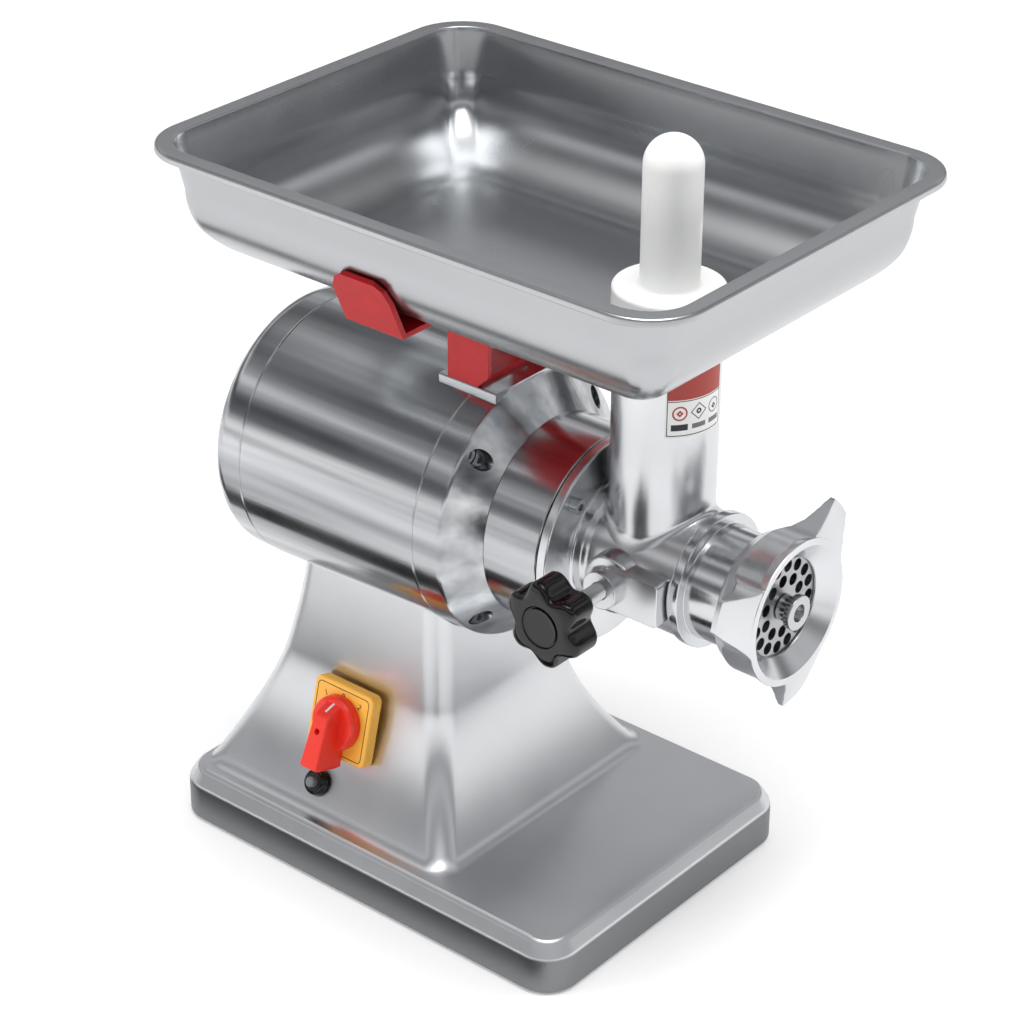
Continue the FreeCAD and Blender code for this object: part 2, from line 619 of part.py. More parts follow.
def wing(middle):
    """One wing: swept back, one short and one long concave side, thicker at the root."""
    tip = WING_TIP_R
    left = [(-30, 40.5), (-22, 42.4), (-15, 46.5), (-10.5, 54.0), (-8, tip)]
    right = [(8, tip), (14.5, 54.5), (24, 47.5), (35, 43.0), (46, 40.5)]

    def outline(y):
        pts = []
        for a, r in left + right:
            x, z = polar(r, middle + a)
            pts.append(V(x, y, z))
        return pts

    front = NUT_FRONT
    pts = outline(front)
    near = Part.BSplineCurve()
    near.interpolate(pts[:5])
    far = Part.BSplineCurve()
    far.interpolate(pts[5:])
    x, z = polar(30.0, middle)
    hub = V(x, front, z)
    wire = Part.Wire([near.toShape(), Part.makeLine(pts[4], pts[5]), far.toShape(),
                      Part.makeLine(pts[9], hub), Part.makeLine(hub, pts[0])])
    blade = Part.Face(wire).extrude(V(0, 26.0, 0))
    envelope = spun_y([(0, front), (40.5, front), (tip + 1.0, front + WING_SWEEP),
                       (tip + 1.0, front + WING_SWEEP + 3.8), (56.0, front + 15.0),
                       (48.0, front + 19.0), (40.0, front + 26.0), (0, front + 26.0)])
    return blade.common(envelope)


def auger():
    """Worm with its drive tang, thrust collar, square for the knife and front stud."""
    core = spun_y([(0, -106.0), (25.0, -106.0), (25.0, -110.0), (15.0, -113.0), (9.5, -118.0),
                   (12.5, -195.0), (12.5, -198.0), (0, -198.0)])
    turns = 2.9
    helix = Part.makeHelix(AUGER_PITCH, AUGER_PITCH * turns, 12.0)
    blade = Part.makePolygon([V(8.0, 0, -2.6), V(AUGER_R, 0, -1.4), V(AUGER_R, 0, 1.4),
                              V(8.0, 0, 2.6), V(8.0, 0, -2.6)])
    flight = Part.Wire(helix.Edges).makePipeShell([blade], True, True)
    flight.rotate(V(0, 0, 0), V(1, 0, 0), 90)
    flight.translate(V(0, -113.0, AXIS_Z))
    worm = core.fuse(flight)
    tang = box(-6.0, 6.0, -106.5, -91.5, AXIS_Z - 9.0, AXIS_Z + 9.0)
    square = box(-5.0, 5.0, PLATE_REAR + 0.3, -197.0, AXIS_Z - 5.0, AXIS_Z + 5.0)
    stud = rod_y(5.0, -219.0, -205.0)
    return worm.fuse(tang).fuse(square).fuse(stud)


def knife():
    """Four-bladed cross knife on the auger's square."""
    hub = rod_y(10.5, PLATE_REAR + 0.3, -199.0)
    blades = hub
    for i in range(4):
        arm = box(4.0, 25.6, PLATE_REAR + 0.3, -200.5, AXIS_Z - 4.5, AXIS_Z + 3.5)
        blades = blades.fuse(turned(arm, 90 * i + 30))
    blades = blades.common(rod_y(25.6, -220, -190))
    return blades.cut(box(-5.0, 5.0, -210, -190, AXIS_Z - 5.0, AXIS_Z + 5.0)).removeSplitter()


def stud_cap():
    cap = spun_y([(4.9, -223.0), (9.3, -223.0), (9.9, -222.4), (9.9, -219.6), (9.3, -219.0),
                  (4.9, -219.0)])
    sleeve = ring_y(7.4, 5.0, -219.0, PLATE_FRONT - 0.4)
    return cap.fuse(sleeve).removeSplitter()


# ---------------------------------------------------------------- lock knob
def lock_knob():
    """Six-lobed moulded knob with a recessed face."""
    lobes = 6
    points = []
    for i in range(96):
        a = 2 * math.pi * i / 96
        r = KNOB_R + KNOB_LOBE * math.cos(lobes * a)
        points.append(V(KNOB_BACK, LOCK_Y + r * math.cos(a), AXIS_Z + r * math.sin(a)))
    curve = Part.BSplineCurve()
    curve.interpolate(points, PeriodicFlag=True)
    star = Part.Face(Part.Wire([curve.toShape()])).extrude(V(KNOB_FACE - KNOB_BACK, 0, 0))
    crown = Part.makeSphere(60.0, V(KNOB_FACE + 60.0, LOCK_Y, AXIS_Z))
    star = star.common(crown)
    hub = Part.makeCone(13.0, 10.0, 5.0, V(KNOB_BACK, LOCK_Y, AXIS_Z), V(1, 0, 0))
    knob = star.fuse(hub)
    knob = knob.cut(rod_x(12.5, -110, KNOB_FACE + 1.6, LOCK_Y, AXIS_Z))
    return knob.cut(rod_x(LOCK_R, -98.0, -70, LOCK_Y, AXIS_Z))


def knob_cap():
    return rod_x(12.2, KNOB_FACE + 0.9, KNOB_FACE + 1.6, LOCK_Y, AXIS_Z)


def lock_stud():
    shank = rod_x(LOCK_R, -98.0, -33.5, LOCK_Y, AXIS_Z)
    point = Part.makeCone(LOCK_R, 2.6, 2.0, V(-33.5, LOCK_Y, AXIS_Z), V(1, 0, 0))
    return shank.fuse(point).removeSplitter()


# ---------------------------------------------------------------- motor and gear train
def stator_core():
    core = ring_y(CASE_BORE - 0.3, 42.4, STACK_FRONT, STACK_REAR)
    slots = []
    for i in range(24):
        slots.append(turned(box(40.0, 60.0, 10, 90, AXIS_Z - 2.4, AXIS_Z + 2.4), 15.0 * i))
    return core.cut(group(slots))


def stator_windings():
    """The two end turns, which stand off the core's faces."""
    ends = []
    for face, out in ((STACK_FRONT - 0.2, -1), (STACK_REAR + 0.2, 1)):
        ends.append(spun_y([(46.0, face), (45.5, face + 9.0 * out), (49.0, face + 14.0 * out),
                            (62.0, face + 14.0 * out), (66.0, face + 9.0 * out), (66.0, face)]))
    return group(ends)


def rotor_core():
    return ring_y(42.0, 10.0, STACK_FRONT, STACK_REAR)


def rotor_shaft():
    shaft = rod_y(7.5, -22.0, 125.0).fuse(rod_y(10.0, -6.0, 112.0))
    pinion = spur_gear(MOD_1, TEETH_ROTOR, ROTOR_FRONT, -22.0, AXIS_Z, -90.0, 0.5)
    return shaft.fuse(pinion).fuse(rod_y(0.5, ROTOR_FRONT, -20.0)).removeSplitter()


def cooling_fan():
    fan = ring_y(62.0, 18.0, 107.0, 108.6).fuse(ring_y(18.0, 10.0, 100.0, 108.6))
    for i in range(9):
        blade = box(17.0, 60.0, 100.0, 107.5, AXIS_Z - 0.9, AXIS_Z + 0.9)
        fan = fan.fuse(turned(blade, 40.0 * i))
    return fan


def ball_bearing(r_out, r_in, y0, y1, x=0.0, z=AXIS_Z):
    """Bearing drawn as one solid: two races joined by a thinner web of balls and cage."""
    third = (r_out - r_in) / 3.2
    web = 0.18 * (y1 - y0)
    return spun_y([(r_in, y0), (r_in + third, y0), (r_in + third, y0 + web),
                   (r_out - third, y0 + web), (r_out - third, y0), (r_out, y0), (r_out, y1),
                   (r_out - third, y1), (r_out - third, y1 - web), (r_in + third, y1 - web),
                   (r_in + third, y1), (r_in, y1)], x, z)


def rotor_bearings():
    return group([ball_bearing(17.5, 7.55, -17.9, -7.2), ball_bearing(17.5, 7.55, 114.2, 125.0)])


def lay_gear():
    return spur_gear(MOD_1, TEETH_LAY_BIG, -32.5, -22.5, LAY_Z, 90.0, 5.0, True)


def lay_shaft():
    shaft = rod_y(5.0, -63.5, -11.4, 0, LAY_Z)
    pinion = spur_gear(MOD_2, TEETH_LAY_SMALL, -50.0, -36.5, LAY_Z, 90.0, 4.5)
    return shaft.fuse(pinion).removeSplitter()


def lay_bushes():
    rear = ring_y(BUSH_R, 5.05, CASE_FRONT, -11.0, 0, LAY_Z)
    front = ring_y(BUSH_R, 5.05, -64.0, -54.0, 0, LAY_Z)
    return group([rear, front])


def output_gear():
    return spur_gear(MOD_2, TEETH_OUTPUT, -49.0, -37.5, AXIS_Z, -90.0, 12.5, True)


def output_shaft():
    shaft = rod_y(12.5, -86.0, -37.5).fuse(rod_y(15.0, -102.0, -86.0))
    return shaft.cut(box(-6.3, 6.3, -103.0, -90.8, AXIS_Z - 9.3, AXIS_Z + 9.3)).removeSplitter()


def output_bearings():
    return group([ball_bearing(26.0, 12.55, -75.3, -65.0), ball_bearing(26.0, 12.55, -85.9, -75.6)])


def oil_seal():
    return ring_y(26.0, 15.3, -90.8, -86.0)


# ---------------------------------------------------------------- pan, support and stomper
def support_ear(side, top, t):
    """Upturned end of the shelf, leaning out along the pan's side, with rounded corners."""
    outline = [(103.0, top - t), (106.6, top - t), (121.2, EAR_TOP - 1.4), (118.3, EAR_TOP),
               (104.4, top)]
    points = [V(side * x, SHELF_FRONT, z) for x, z in outline]
    ear = Part.Face(Part.makePolygon(points + [points[0]]))
    ear = ear.extrude(V(0, SHELF_REAR - SHELF_FRONT, 0))
    low = top - t - 1
    trim = [(SHELF_FRONT, low), (SHELF_FRONT, EAR_TOP - 12), (SHELF_FRONT + 2.5, EAR_TOP - 4),
            (SHELF_FRONT + 9.0, EAR_TOP), (SHELF_REAR - 12.0, EAR_TOP + 0.5),
            (SHELF_REAR - 5.0, EAR_TOP - 4), (SHELF_REAR, EAR_TOP - 12), (SHELF_REAR, low)]
    points = [V(side * 100.0, y, z) for y, z in trim]
    shape = Part.Face(Part.makePolygon(points + [points[0]])).extrude(V(side * 25.0, 0, 0))
    return ear.common(shape)


def pan_support():
    """Folded steel bracket: foot, two webs cut away at the front, shelf with raised ears."""
    t = 3.0
    half = 28.5
    top = PAN_FLOOR_Z - 0.4
    parts = [box(-half, half, SUPPORT_FRONT + WEB_CUT, SUPPORT_REAR, PAD_Z, PAD_Z + t)]
    for s in (-1, 1):
        x0, x1 = sorted((s * (half - t), s * half))
        outline = [(SUPPORT_FRONT, PAD_Z + WEB_CUT), (SUPPORT_FRONT + WEB_CUT, PAD_Z),
                   (SUPPORT_REAR, PAD_Z), (SUPPORT_REAR, top), (SUPPORT_FRONT, top)]
        points = [V(x0, y, z) for y, z in outline]
        parts.append(Part.Face(Part.makePolygon(points + [points[0]])).extrude(V(x1 - x0, 0, 0)))
        parts.append(support_ear(s, top, t))
    shelf = box(-104.0, 104.0, SHELF_FRONT, SHELF_REAR, top - t, top)
    parts.append(shelf)
    support = parts[0].multiFuse(parts[1:]).removeSplitter()
    for x, y in SUPPORT_SCREWS:
        support = support.cut(rod_z(2.6, PAD_Z - 1, PAD_Z + t + 1, x, y))
    return support


def pan_support_screws():
    screws = []
    for x, y in SUPPORT_SCREWS:
        head = rod_z(4.6, PAD_Z + 3.0, PAD_Z + 6.0, x, y)
        screws.append(head.fuse(rod_z(2.45, PAD_Z - 3.8, PAD_Z + 3.0, x, y)))
    return group(screws)


def pan_form(offset):
    """Inside or outside skin of the pan as a solid, offset into the sheet."""
    bend_z = PAN_FLOOR_Z + PAN_EDGE_R
    top = PAN_RIM_Z - PAN_SHEET
    inset = PAN_RIM_W + PAN_DRAFT * (top - bend_z)
    levels = [(PAN_RIM_Z, PAN_RIM_W), (bend_z, inset)]
    r = PAN_EDGE_R - offset
    for i in range(1, 9):
        a = math.radians(90.0 * i / 8)
        levels.append((bend_z - r * math.sin(a), inset + PAN_EDGE_R * (1 - math.cos(a))
                       - offset * (1 - math.cos(a))))
    wires = []
    for z, d in levels:
        d = d + offset
        share = (PAN_RIM_Z - z) / (PAN_RIM_Z - PAN_FLOOR_Z)
        wires.append(rounded_wire(-PAN_HALF_W + d, PAN_HALF_W - d, PAN_FRONT + d, PAN_REAR - d,
                                  PAN_CORNER_R - 4.0 * share - 0.5 * offset, z))
    return loft(wires, True)


def feed_pan():
    skin = pan_form(0.0).cut(pan_form(PAN_SHEET))
    top = PAN_RIM_Z
    rim = rounded_slab(-PAN_HALF_W, PAN_HALF_W, PAN_FRONT, PAN_REAR, PAN_CORNER_R + PAN_RIM_W,
                       top - 3.6, top)
    under = rounded_slab(-PAN_HALF_W + 1.2, PAN_HALF_W - 1.2, PAN_FRONT + 1.2, PAN_REAR - 1.2,
                         PAN_CORNER_R + PAN_RIM_W - 1.2, top - 5.0, top - PAN_SHEET)
    rim = rim.cut(under).cut(pan_form(PAN_SHEET))
    pan = skin.fuse(rim)
    collar = rod_z(PAN_COLLAR_R, 362.0, PAN_FLOOR_Z + PAN_SHEET, 0, TUBE_Y)
    pan = pan.fuse(collar).cut(rod_z(PAN_COLLAR_R - PAN_SHEET, 350, 400, 0, TUBE_Y))
    return pan.removeSplitter()


def stomper():
    floor = PAN_FLOOR_Z + PAN_SHEET + 0.4
    dome = arc_points(0, STOMPER_TOP - STOMPER_HANDLE_R, STOMPER_HANDLE_R, 0, 90, 8)
    foot = arc_points(19.8, 333.0, 3.0, -90, 0, 3)
    edge = arc_points(STOMPER_DISC_R - 1.5, STOMPER_DISC_TOP - 1.5, 1.5, 0, 90, 3)
    root = arc_points(STOMPER_HANDLE_R + 2.0, STOMPER_DISC_TOP + 2.0, 2.0, 270, 180, 3)
    profile = [(0, 330.0)] + foot + [(22.8, floor), (STOMPER_DISC_R - 0.8, floor),
                                     (STOMPER_DISC_R, floor + 0.8)] + edge + root + dome
    return spun_z(profile, 0, TUBE_Y)


# ---------------------------------------------------------------- switch and reset
def switch_plate():
    side = SWITCH_SIDE
    slab = rounded_slab(-side / 2, side / 2, -side / 2, side / 2, 4.0, 0, 8.0)
    slab = slab.cut(rod_z(9.0, -1, 9, 0, 0))
    rim = [e for e in slab.Edges if abs(e.BoundBox.ZMin - 8.0) < 0.01 and e.BoundBox.XLength
           + e.BoundBox.YLength > 3 and e.BoundBox.XLength != 18.0]
    slab = round_edges(slab, 1.2, rim)
    return on_switch(slab)


def on_switch(shape):
    """Place a part built up +Z from the plate's back onto the column's side."""
    out = shape.copy()
    out.rotate(V(0, 0, 0), ALONG_Y, -90)
    return tilted(out, SWITCH_TILT, SWITCH_X, SWITCH_Y, SWITCH_Z)


def switch_body():
    drum = rod_z(15.0, -26.0, 0.0, 0, 0)
    stack = box(-17.0, 17.0, -17.0, 17.0, -52.0, -14.0)
    spigot = rod_z(8.8, 0.0, 7.0, 0, 0)
    bore = rod_z(4.1, -10.0, 8.0, 0, 0)
    return on_switch(drum.fuse(stack).fuse(spigot).cut(bore).removeSplitter())


def switch_lever():
    """Round base with a tapered finger grip that hangs below it."""
    base = Part.makeCone(16.5, 15.0, 7.0, V(0, 0, 8.4), UP)
    stem = rod_z(4.0, -8.0, 9.0, 0, 0)
    low = [V(-17.0, -6.5, 8.4), V(26.0, -6.5, 13.0), V(26.0, 6.5, 13.0), V(-17.0, 6.5, 8.4),
           V(-17.0, -6.5, 8.4)]
    high = [V(-15.0, -4.5, 27.0), V(24.0, -4.0, 31.0), V(24.0, 4.0, 31.0), V(-15.0, 4.5, 27.0),
            V(-15.0, -4.5, 27.0)]
    grip = loft([Part.makePolygon(low), Part.makePolygon(high)], True)
    grip.rotate(V(0, 0, 0), UP, 180)
    eye = Part.makeCylinder(2.0, 30, V(0, -15, 24.0), ALONG_Y)
    lever = base.fuse(grip).fuse(stem).cut(eye)
    return on_switch(lever.removeSplitter())


def on_reset(shape):
    out = shape.copy()
    out.rotate(V(0, 0, 0), ALONG_Y, -90)
    return tilted(out, RESET_TILT, RESET_X, RESET_Y, RESET_Z)


def reset_breaker():
    barrel_part = rod_z(5.5, -12.0, 5.0, 0, 0)
    case = box(-8.0, 8.0, -12.0, 12.0, -38.0, -9.0)
    return on_reset(barrel_part.fuse(case).cut(rod_z(3.5, -6.0, 6.0, 0, 0)).removeSplitter())


def reset_nut():
    nut = spun_z([(5.5, 1.0), (8.2, 1.0), (8.2, 2.2), (7.2, 4.6), (5.5, 5.2)], 0, 0)
    return on_reset(nut)


def reset_button():
    stem = rod_z(3.2, -3.0, 7.4, 0, 0)
    top = spun_z([(0, 7.4), (3.2, 7.4), (3.2, 8.4), (2.4, 9.0), (0, 9.0)], 0, 0)
    return on_reset(stem.fuse(top).removeSplitter())


# ---------------------------------------------------------------- electrics in the pedestal
def run_capacitor():
    can = rod_y(17.0, -10.0, 62.0, CAN_X, CAN_Z)
    return can.fuse(ring_y(17.6, 16.0, 58.0, 62.0, CAN_X, CAN_Z)).removeSplitter()


def capacitor_clip():
    strap = ring_y(19.0, 17.7, 18.0, 34.0, CAN_X, CAN_Z)
    return strap.fuse(box(10.0, 38.0, 18.0, 34.0, 40.0, 42.4)).removeSplitter()


def terminal_block():
    block = box(-2.0, 44.0, 76.0, 92.0, 34.0, 50.0)
    for i in range(4):
        x = 4.5 + 11.0 * i
        block = block.cut(rod_z(3.0, 42.0, 52.0, x, 84.0))
    return block


def electrics_tray():
    tray = box(-44.0, 50.0, -14.0, 96.0, 32.0, 34.0)
    for x, y in ((-40.0, -10.0), (46.0, -10.0), (-40.0, 92.0), (46.0, 92.0)):
        tray = tray.fuse(rod_z(4.0, 5.8, 34.0, x, y))
    return tray.fuse(box(12.0, 36.0, 18.0, 34.0, 34.0, 40.0)).removeSplitter()


def inlet_gland():
    """Threaded gland through the column's rear wall, empty: no lead is fitted."""
    profile = [(4.5, 96.0), (8.0, 96.0), (8.0, GLAND_SEAT), (12.0, GLAND_SEAT),
               (12.0, GLAND_SEAT + 3.5), (10.5, GLAND_SEAT + 3.5), (10.5, GLAND_SEAT + 9.0),
               (7.5, GLAND_SEAT + 15.0), (4.5, GLAND_SEAT + 15.0)]
    return spun_y(profile, GLAND_X, GLAND_Z)


def inlet_nut():
    return ring_y(11.5, 8.0, 98.8, 103.8, GLAND_X, GLAND_Z)


PARTS = [
    pedestal_casting, bottom_plate, rubber_feet, foot_screws, pedestal_bolts,
    motor_housing, end_bell, end_bell_screws, bearing_plate, gear_cover, gear_cover_screws,
    gearbox_nose, nose_gasket, flange_screws, feed_head, tube_label,
    barrel, hole_plate, ring_nut, auger, knife, stud_cap,
    lock_knob, knob_cap, lock_stud,
    stator_core, stator_windings, rotor_core, rotor_shaft, cooling_fan, rotor_bearings,
    lay_gear, lay_shaft, lay_bushes, output_gear, output_shaft, output_bearings, oil_seal,
    pan_support, pan_support_screws, feed_pan, stomper,
    switch_plate, switch_body, switch_lever, reset_breaker, reset_nut, reset_button,
    run_capacitor, capacitor_clip, terminal_block, electrics_tray, inlet_gland, inlet_nut,
]

os.makedirs("parts", exist_ok=True)
for make in PARTS:
    save(make.__name__, make())
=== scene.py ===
# %% [markdown]
# # A bench meat grinder with its real finishes
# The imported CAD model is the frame: it already stands in the right place, at its real size.
# This file keeps what is hidden inside, gives every part its real finish, and replaces the
# visible castings, turned parts and sheet metal with finer surfaces worked out as formulas.

# %% Load the frame
import json
import math

import bmesh
import bpy
import numpy as np
from mathutils import Matrix, Vector


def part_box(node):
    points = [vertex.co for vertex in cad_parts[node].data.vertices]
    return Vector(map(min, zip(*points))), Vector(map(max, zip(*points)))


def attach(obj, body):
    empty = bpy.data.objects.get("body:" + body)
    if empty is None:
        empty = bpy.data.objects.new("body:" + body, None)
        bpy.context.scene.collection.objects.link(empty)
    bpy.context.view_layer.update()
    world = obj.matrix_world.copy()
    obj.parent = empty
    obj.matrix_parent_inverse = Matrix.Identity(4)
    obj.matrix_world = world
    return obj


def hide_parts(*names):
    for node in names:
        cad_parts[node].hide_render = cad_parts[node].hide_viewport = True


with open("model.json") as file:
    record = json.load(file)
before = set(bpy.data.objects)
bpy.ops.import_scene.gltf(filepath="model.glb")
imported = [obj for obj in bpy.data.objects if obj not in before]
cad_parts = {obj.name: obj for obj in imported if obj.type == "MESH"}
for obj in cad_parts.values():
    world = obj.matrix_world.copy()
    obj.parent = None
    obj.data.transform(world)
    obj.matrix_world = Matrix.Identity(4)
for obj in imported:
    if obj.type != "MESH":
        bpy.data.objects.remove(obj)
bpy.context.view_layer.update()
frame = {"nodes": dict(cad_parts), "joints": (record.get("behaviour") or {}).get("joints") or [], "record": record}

MM = 0.001
MERGE_DISTANCE = 2e-6                     # metres; points nearer than this are one
SHARP = 32                                # degrees; an edge that bends more stays sharp
FLAT = 1.0                                # degrees; triangles nearer than this are one face
joints = {joint["name"]: joint for joint in frame["joints"]}

# %% [markdown]
# ## Where things are
# Every place comes from the frame: the ends of a part from its box, the machine's axis from the
# rotor's joint, and the knob's and the switch's axes from their own joints. All in millimetres.

# %% Places taken from the frame
def span(node, axis):
    """Lowest and highest coordinate of a CAD node along one axis, in millimetres."""
    low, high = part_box(node)
    return low[axis] / MM, high[axis] / MM


def joint_point(name):
    return np.array(joints[name]["pos_m"]) / MM


AXIS_Z = joint_point("rotor_spin")[2]
TUBE_Y = sum(span("stomper", 1)) / 2
LOCK = joint_point("lock_knob_turn")
SWITCH = joint_point("switch_turn")
SWITCH_OUT = np.array(joints["switch_turn"]["axis"])
SLAB_EDGE_Z = span("pedestal_casting", 2)[0] + 22.5      # top of the slab's upright edge
print("axis at z", AXIS_Z, " tube at y", round(TUBE_Y, 2))

# %% [markdown]
# ## Three kinds of tool
# A *seat* is a small frame of three directions, so that a shape can be worked out upright at the
# origin and then set down anywhere. A *grid* is a sheet of points in rows and columns, which is
# all a lathe-turned, pressed or cast skin needs. A *piece* is one or more grids made into a mesh
# that rides on a body.

# %% Seats
def seat(origin, up, side):
    """Local frame: its third axis runs along up, its first along side."""
    up = np.array(up, float) / np.linalg.norm(up)
    side = np.array(side, float) / np.linalg.norm(side)
    return np.array([side, np.cross(up, side), up]), np.array(origin, float)


def put(points, where):
    """Points in a seat's own coordinates, moved to the machine's frame."""
    return points @ where[0] + where[1]


OUTLET = seat((0, 0, AXIS_Z), (0, -1, 0), (1, 0, 0))     # heights run towards the outlet
UPRIGHT = seat((0, TUBE_Y, 0), (0, 0, 1), (1, 0, 0))     # the feed tube's own axis
KNOB_SEAT = seat((0, LOCK[1], LOCK[2]), (-1, 0, 0), (0, 1, 0))
SWITCH_SEAT = seat(SWITCH, SWITCH_OUT, (0, -1, 0))


# %% Profiles
def rounded(corners, radius=0.5, steps=4, loop=False):
    """A polyline with each corner replaced by a quadratic curve that leaves both sides on line.

    A corner is (r, height) or (r, height, its own radius); the cut is at most 45% of a side.
    """
    own = [c[2] if len(c) > 2 else radius for c in corners]
    points = np.array([c[:2] for c in corners], float)
    out = []
    count = len(points)
    for i in range(count):
        if not loop and i in (0, count - 1) or own[i] == 0:
            out.append(points[i:i + 1])
            continue
        back = points[i - 1] - points[i]
        ahead = points[(i + 1) % count] - points[i]
        far_back, far_ahead = np.linalg.norm(back), np.linalg.norm(ahead)
        cut = min(own[i], 0.45 * far_back, 0.45 * far_ahead)
        start = points[i] + back * cut / far_back
        end = points[i] + ahead * cut / far_ahead
        t = np.linspace(0, 1, steps + 1)[:, None]
        out.append((1 - t) ** 2 * start + 2 * t * (1 - t) * points[i] + t ** 2 * end)
    return np.concatenate(out)


def lathe(profile, where, count=180):
    """Grid of a turned part: point = axis at height + r (cos a, sin a), with a once round."""
    profile = np.asarray(profile, float)
    a = np.linspace(0, 2 * np.pi, count, endpoint=False)[:, None]
    r, height = profile[:, 0], profile[:, 1]
    local = np.stack([r * np.cos(a), r * np.sin(a), height + 0 * a], -1)
    solid = profile[0, 0] == 0 and profile[-1, 0] == 0
    return put(local, where), True, not solid


# %% Grids into pieces
def grid_faces(rows, columns, wrap_rows, wrap_columns, first):
    """Quads over a grid of point numbers; a wrapped direction joins its last line to its first."""
    r = np.arange(rows if wrap_rows else rows - 1)
    c = np.arange(columns if wrap_columns else columns - 1)
    r, c = np.meshgrid(r, c, indexing="ij")
    r2, c2 = (r + 1) % rows, (c + 1) % columns
    corners = [r * columns + c, r2 * columns + c, r2 * columns + c2, r * columns + c2]
    return first + np.stack(corners, -1).reshape(-1, 4)


def settle(mesh, sharp):
    """Merge doubles, point faces outwards, smooth everything but edges past the sharp angle."""
    work = bmesh.new()
    work.from_mesh(mesh)
    bmesh.ops.remove_doubles(work, verts=work.verts, dist=MERGE_DISTANCE)
    bmesh.ops.recalc_face_normals(work, faces=work.faces)
    work.to_mesh(mesh)
    work.free()
    mesh.polygons.foreach_set("use_smooth", np.ones(len(mesh.polygons), bool))
    mesh.set_sharp_from_angle(angle=math.radians(sharp))


def raw_mesh(name, grids):
    """A mesh from (points, wrap rows, wrap columns) grids in millimetres."""
    points, faces, first = [], [], 0
    for grid, wrap_rows, wrap_columns in grids:
        rows, columns = grid.shape[:2]
        points.append(grid.reshape(-1, 3) * MM)
        faces.append(grid_faces(rows, columns, wrap_rows, wrap_columns, first))
        first += rows * columns
    mesh = bpy.data.meshes.new(name)
    mesh.from_pydata(np.concatenate(points).tolist(), [], np.concatenate(faces).tolist())
    return mesh


def finish_piece(mesh, body, slot, stands_for=(), sharp=SHARP, finish=None):
    """Put a mesh in the scene as a piece: settled, weighted normals, material and body.

    The material is the slot's own finish unless another one is given.
    """
    settle(mesh, sharp)
    piece = bpy.data.objects.new(mesh.name, mesh)
    bpy.context.scene.collection.objects.link(piece)
    mesh.materials.clear()
    mesh.materials.append(finish or finishes[slot])
    weighted = piece.modifiers.new("weighted", "WEIGHTED_NORMAL")
    weighted.keep_sharp = True
    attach(piece, body)
    if stands_for:
        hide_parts(*stands_for)
    print("%-22s %6d faces on %s" % (mesh.name, len(mesh.polygons), body))
    return piece


def make_piece(name, grids, body, slot, stands_for=(), sharp=SHARP, finish=None):
    """A piece straight from its grids."""
    return finish_piece(raw_mesh(name, grids), body, slot, stands_for, sharp, finish)


def cut(piece, grids):
    """Take closed grids away from a piece, and keep the result as its mesh."""
    tool = bpy.data.objects.new("tool", raw_mesh("tool", grids))
    settle(tool.data, SHARP)
    bpy.context.scene.collection.objects.link(tool)
    saved = list(piece.data.materials)
    weighted = piece.modifiers["weighted"]
    weighted.show_viewport = False
    difference = piece.modifiers.new("cut", "BOOLEAN")
    difference.object = tool
    difference.operation = "DIFFERENCE"
    difference.solver = "EXACT"
    graph = bpy.context.evaluated_depsgraph_get()
    result = bpy.data.meshes.new_from_object(piece.evaluated_get(graph))
    piece.modifiers.remove(difference)
    weighted.show_viewport = True
    old = piece.data
    name = old.name
    old.name = "old"
    piece.data = result
    result.name = name
    bpy.data.meshes.remove(old)
    bpy.data.objects.remove(tool)
    result.materials.clear()
    for finish in saved:
        result.materials.append(finish)
    settle(result, SHARP)
    print("%-22s %6d faces after cutting" % (name, len(result.polygons)))


def rod(radius, low, high, where, count=48):
    """A closed plain cylinder between two heights of a seat, used as a cutting tool."""
    return lathe([(0, low), (radius, low), (radius, high), (0, high)], where, count)


def block(size, where):
    """Closed box as a grid: four corners carried through two end faces and the middle."""
    (x0, x1), (y0, y1), (z0, z1) = size
    loop = np.array([(x0, y0), (x1, y0), (x1, y1), (x0, y1)], float)
    centre = loop.mean(0)
    rows = []
    for height, share in ((z0, 0), (z0, 1), (z1, 1), (z1, 0)):
        flat = centre + (loop - centre) * share
        rows.append(np.column_stack([flat, np.full(4, height)]))
    return put(np.stack(rows, 1), where), True, False


def dressed(name, bevel, body, slot):
    """A copy of a CAD node with its loose triangles merged and its sharp edges rounded."""
    mesh = frame["nodes"][name].data.copy()
    mesh.name = name + "_dressed"
    work = bmesh.new()
    work.from_mesh(mesh)
    bmesh.ops.remove_doubles(work, verts=work.verts, dist=MERGE_DISTANCE)
    bmesh.ops.dissolve_limit(work, angle_limit=math.radians(FLAT), verts=work.verts,
                             edges=work.edges)
    work.to_mesh(mesh)
    work.free()
    piece = finish_piece(mesh, body, slot, (name,))
    soft = piece.modifiers.new("rounded edges", "BEVEL")
    soft.width = bevel * MM
    soft.segments = 3
    soft.limit_method = "ANGLE"
    soft.angle_limit = math.radians(SHARP)
    soft.use_clamp_overlap = True
    piece.modifiers.move(1, 0)


# %% [markdown]
# ## Finishes
# Each material starts from what the real part is made of and how its surface was made. Colours
# are sRGB hex values, turned to linear once. One helper adds any shader node.

# %% Colour and node helpers
def srgb(code):
    """'#RRGGBB' as linear red, green, blue and alpha."""
    parts = np.array([int(code[i:i + 2], 16) / 255 for i in (1, 3, 5)])
    linear = np.where(parts <= 0.04045, parts / 12.92, ((parts + 0.055) / 1.055) ** 2.4)
    return (*linear.tolist(), 1.0)


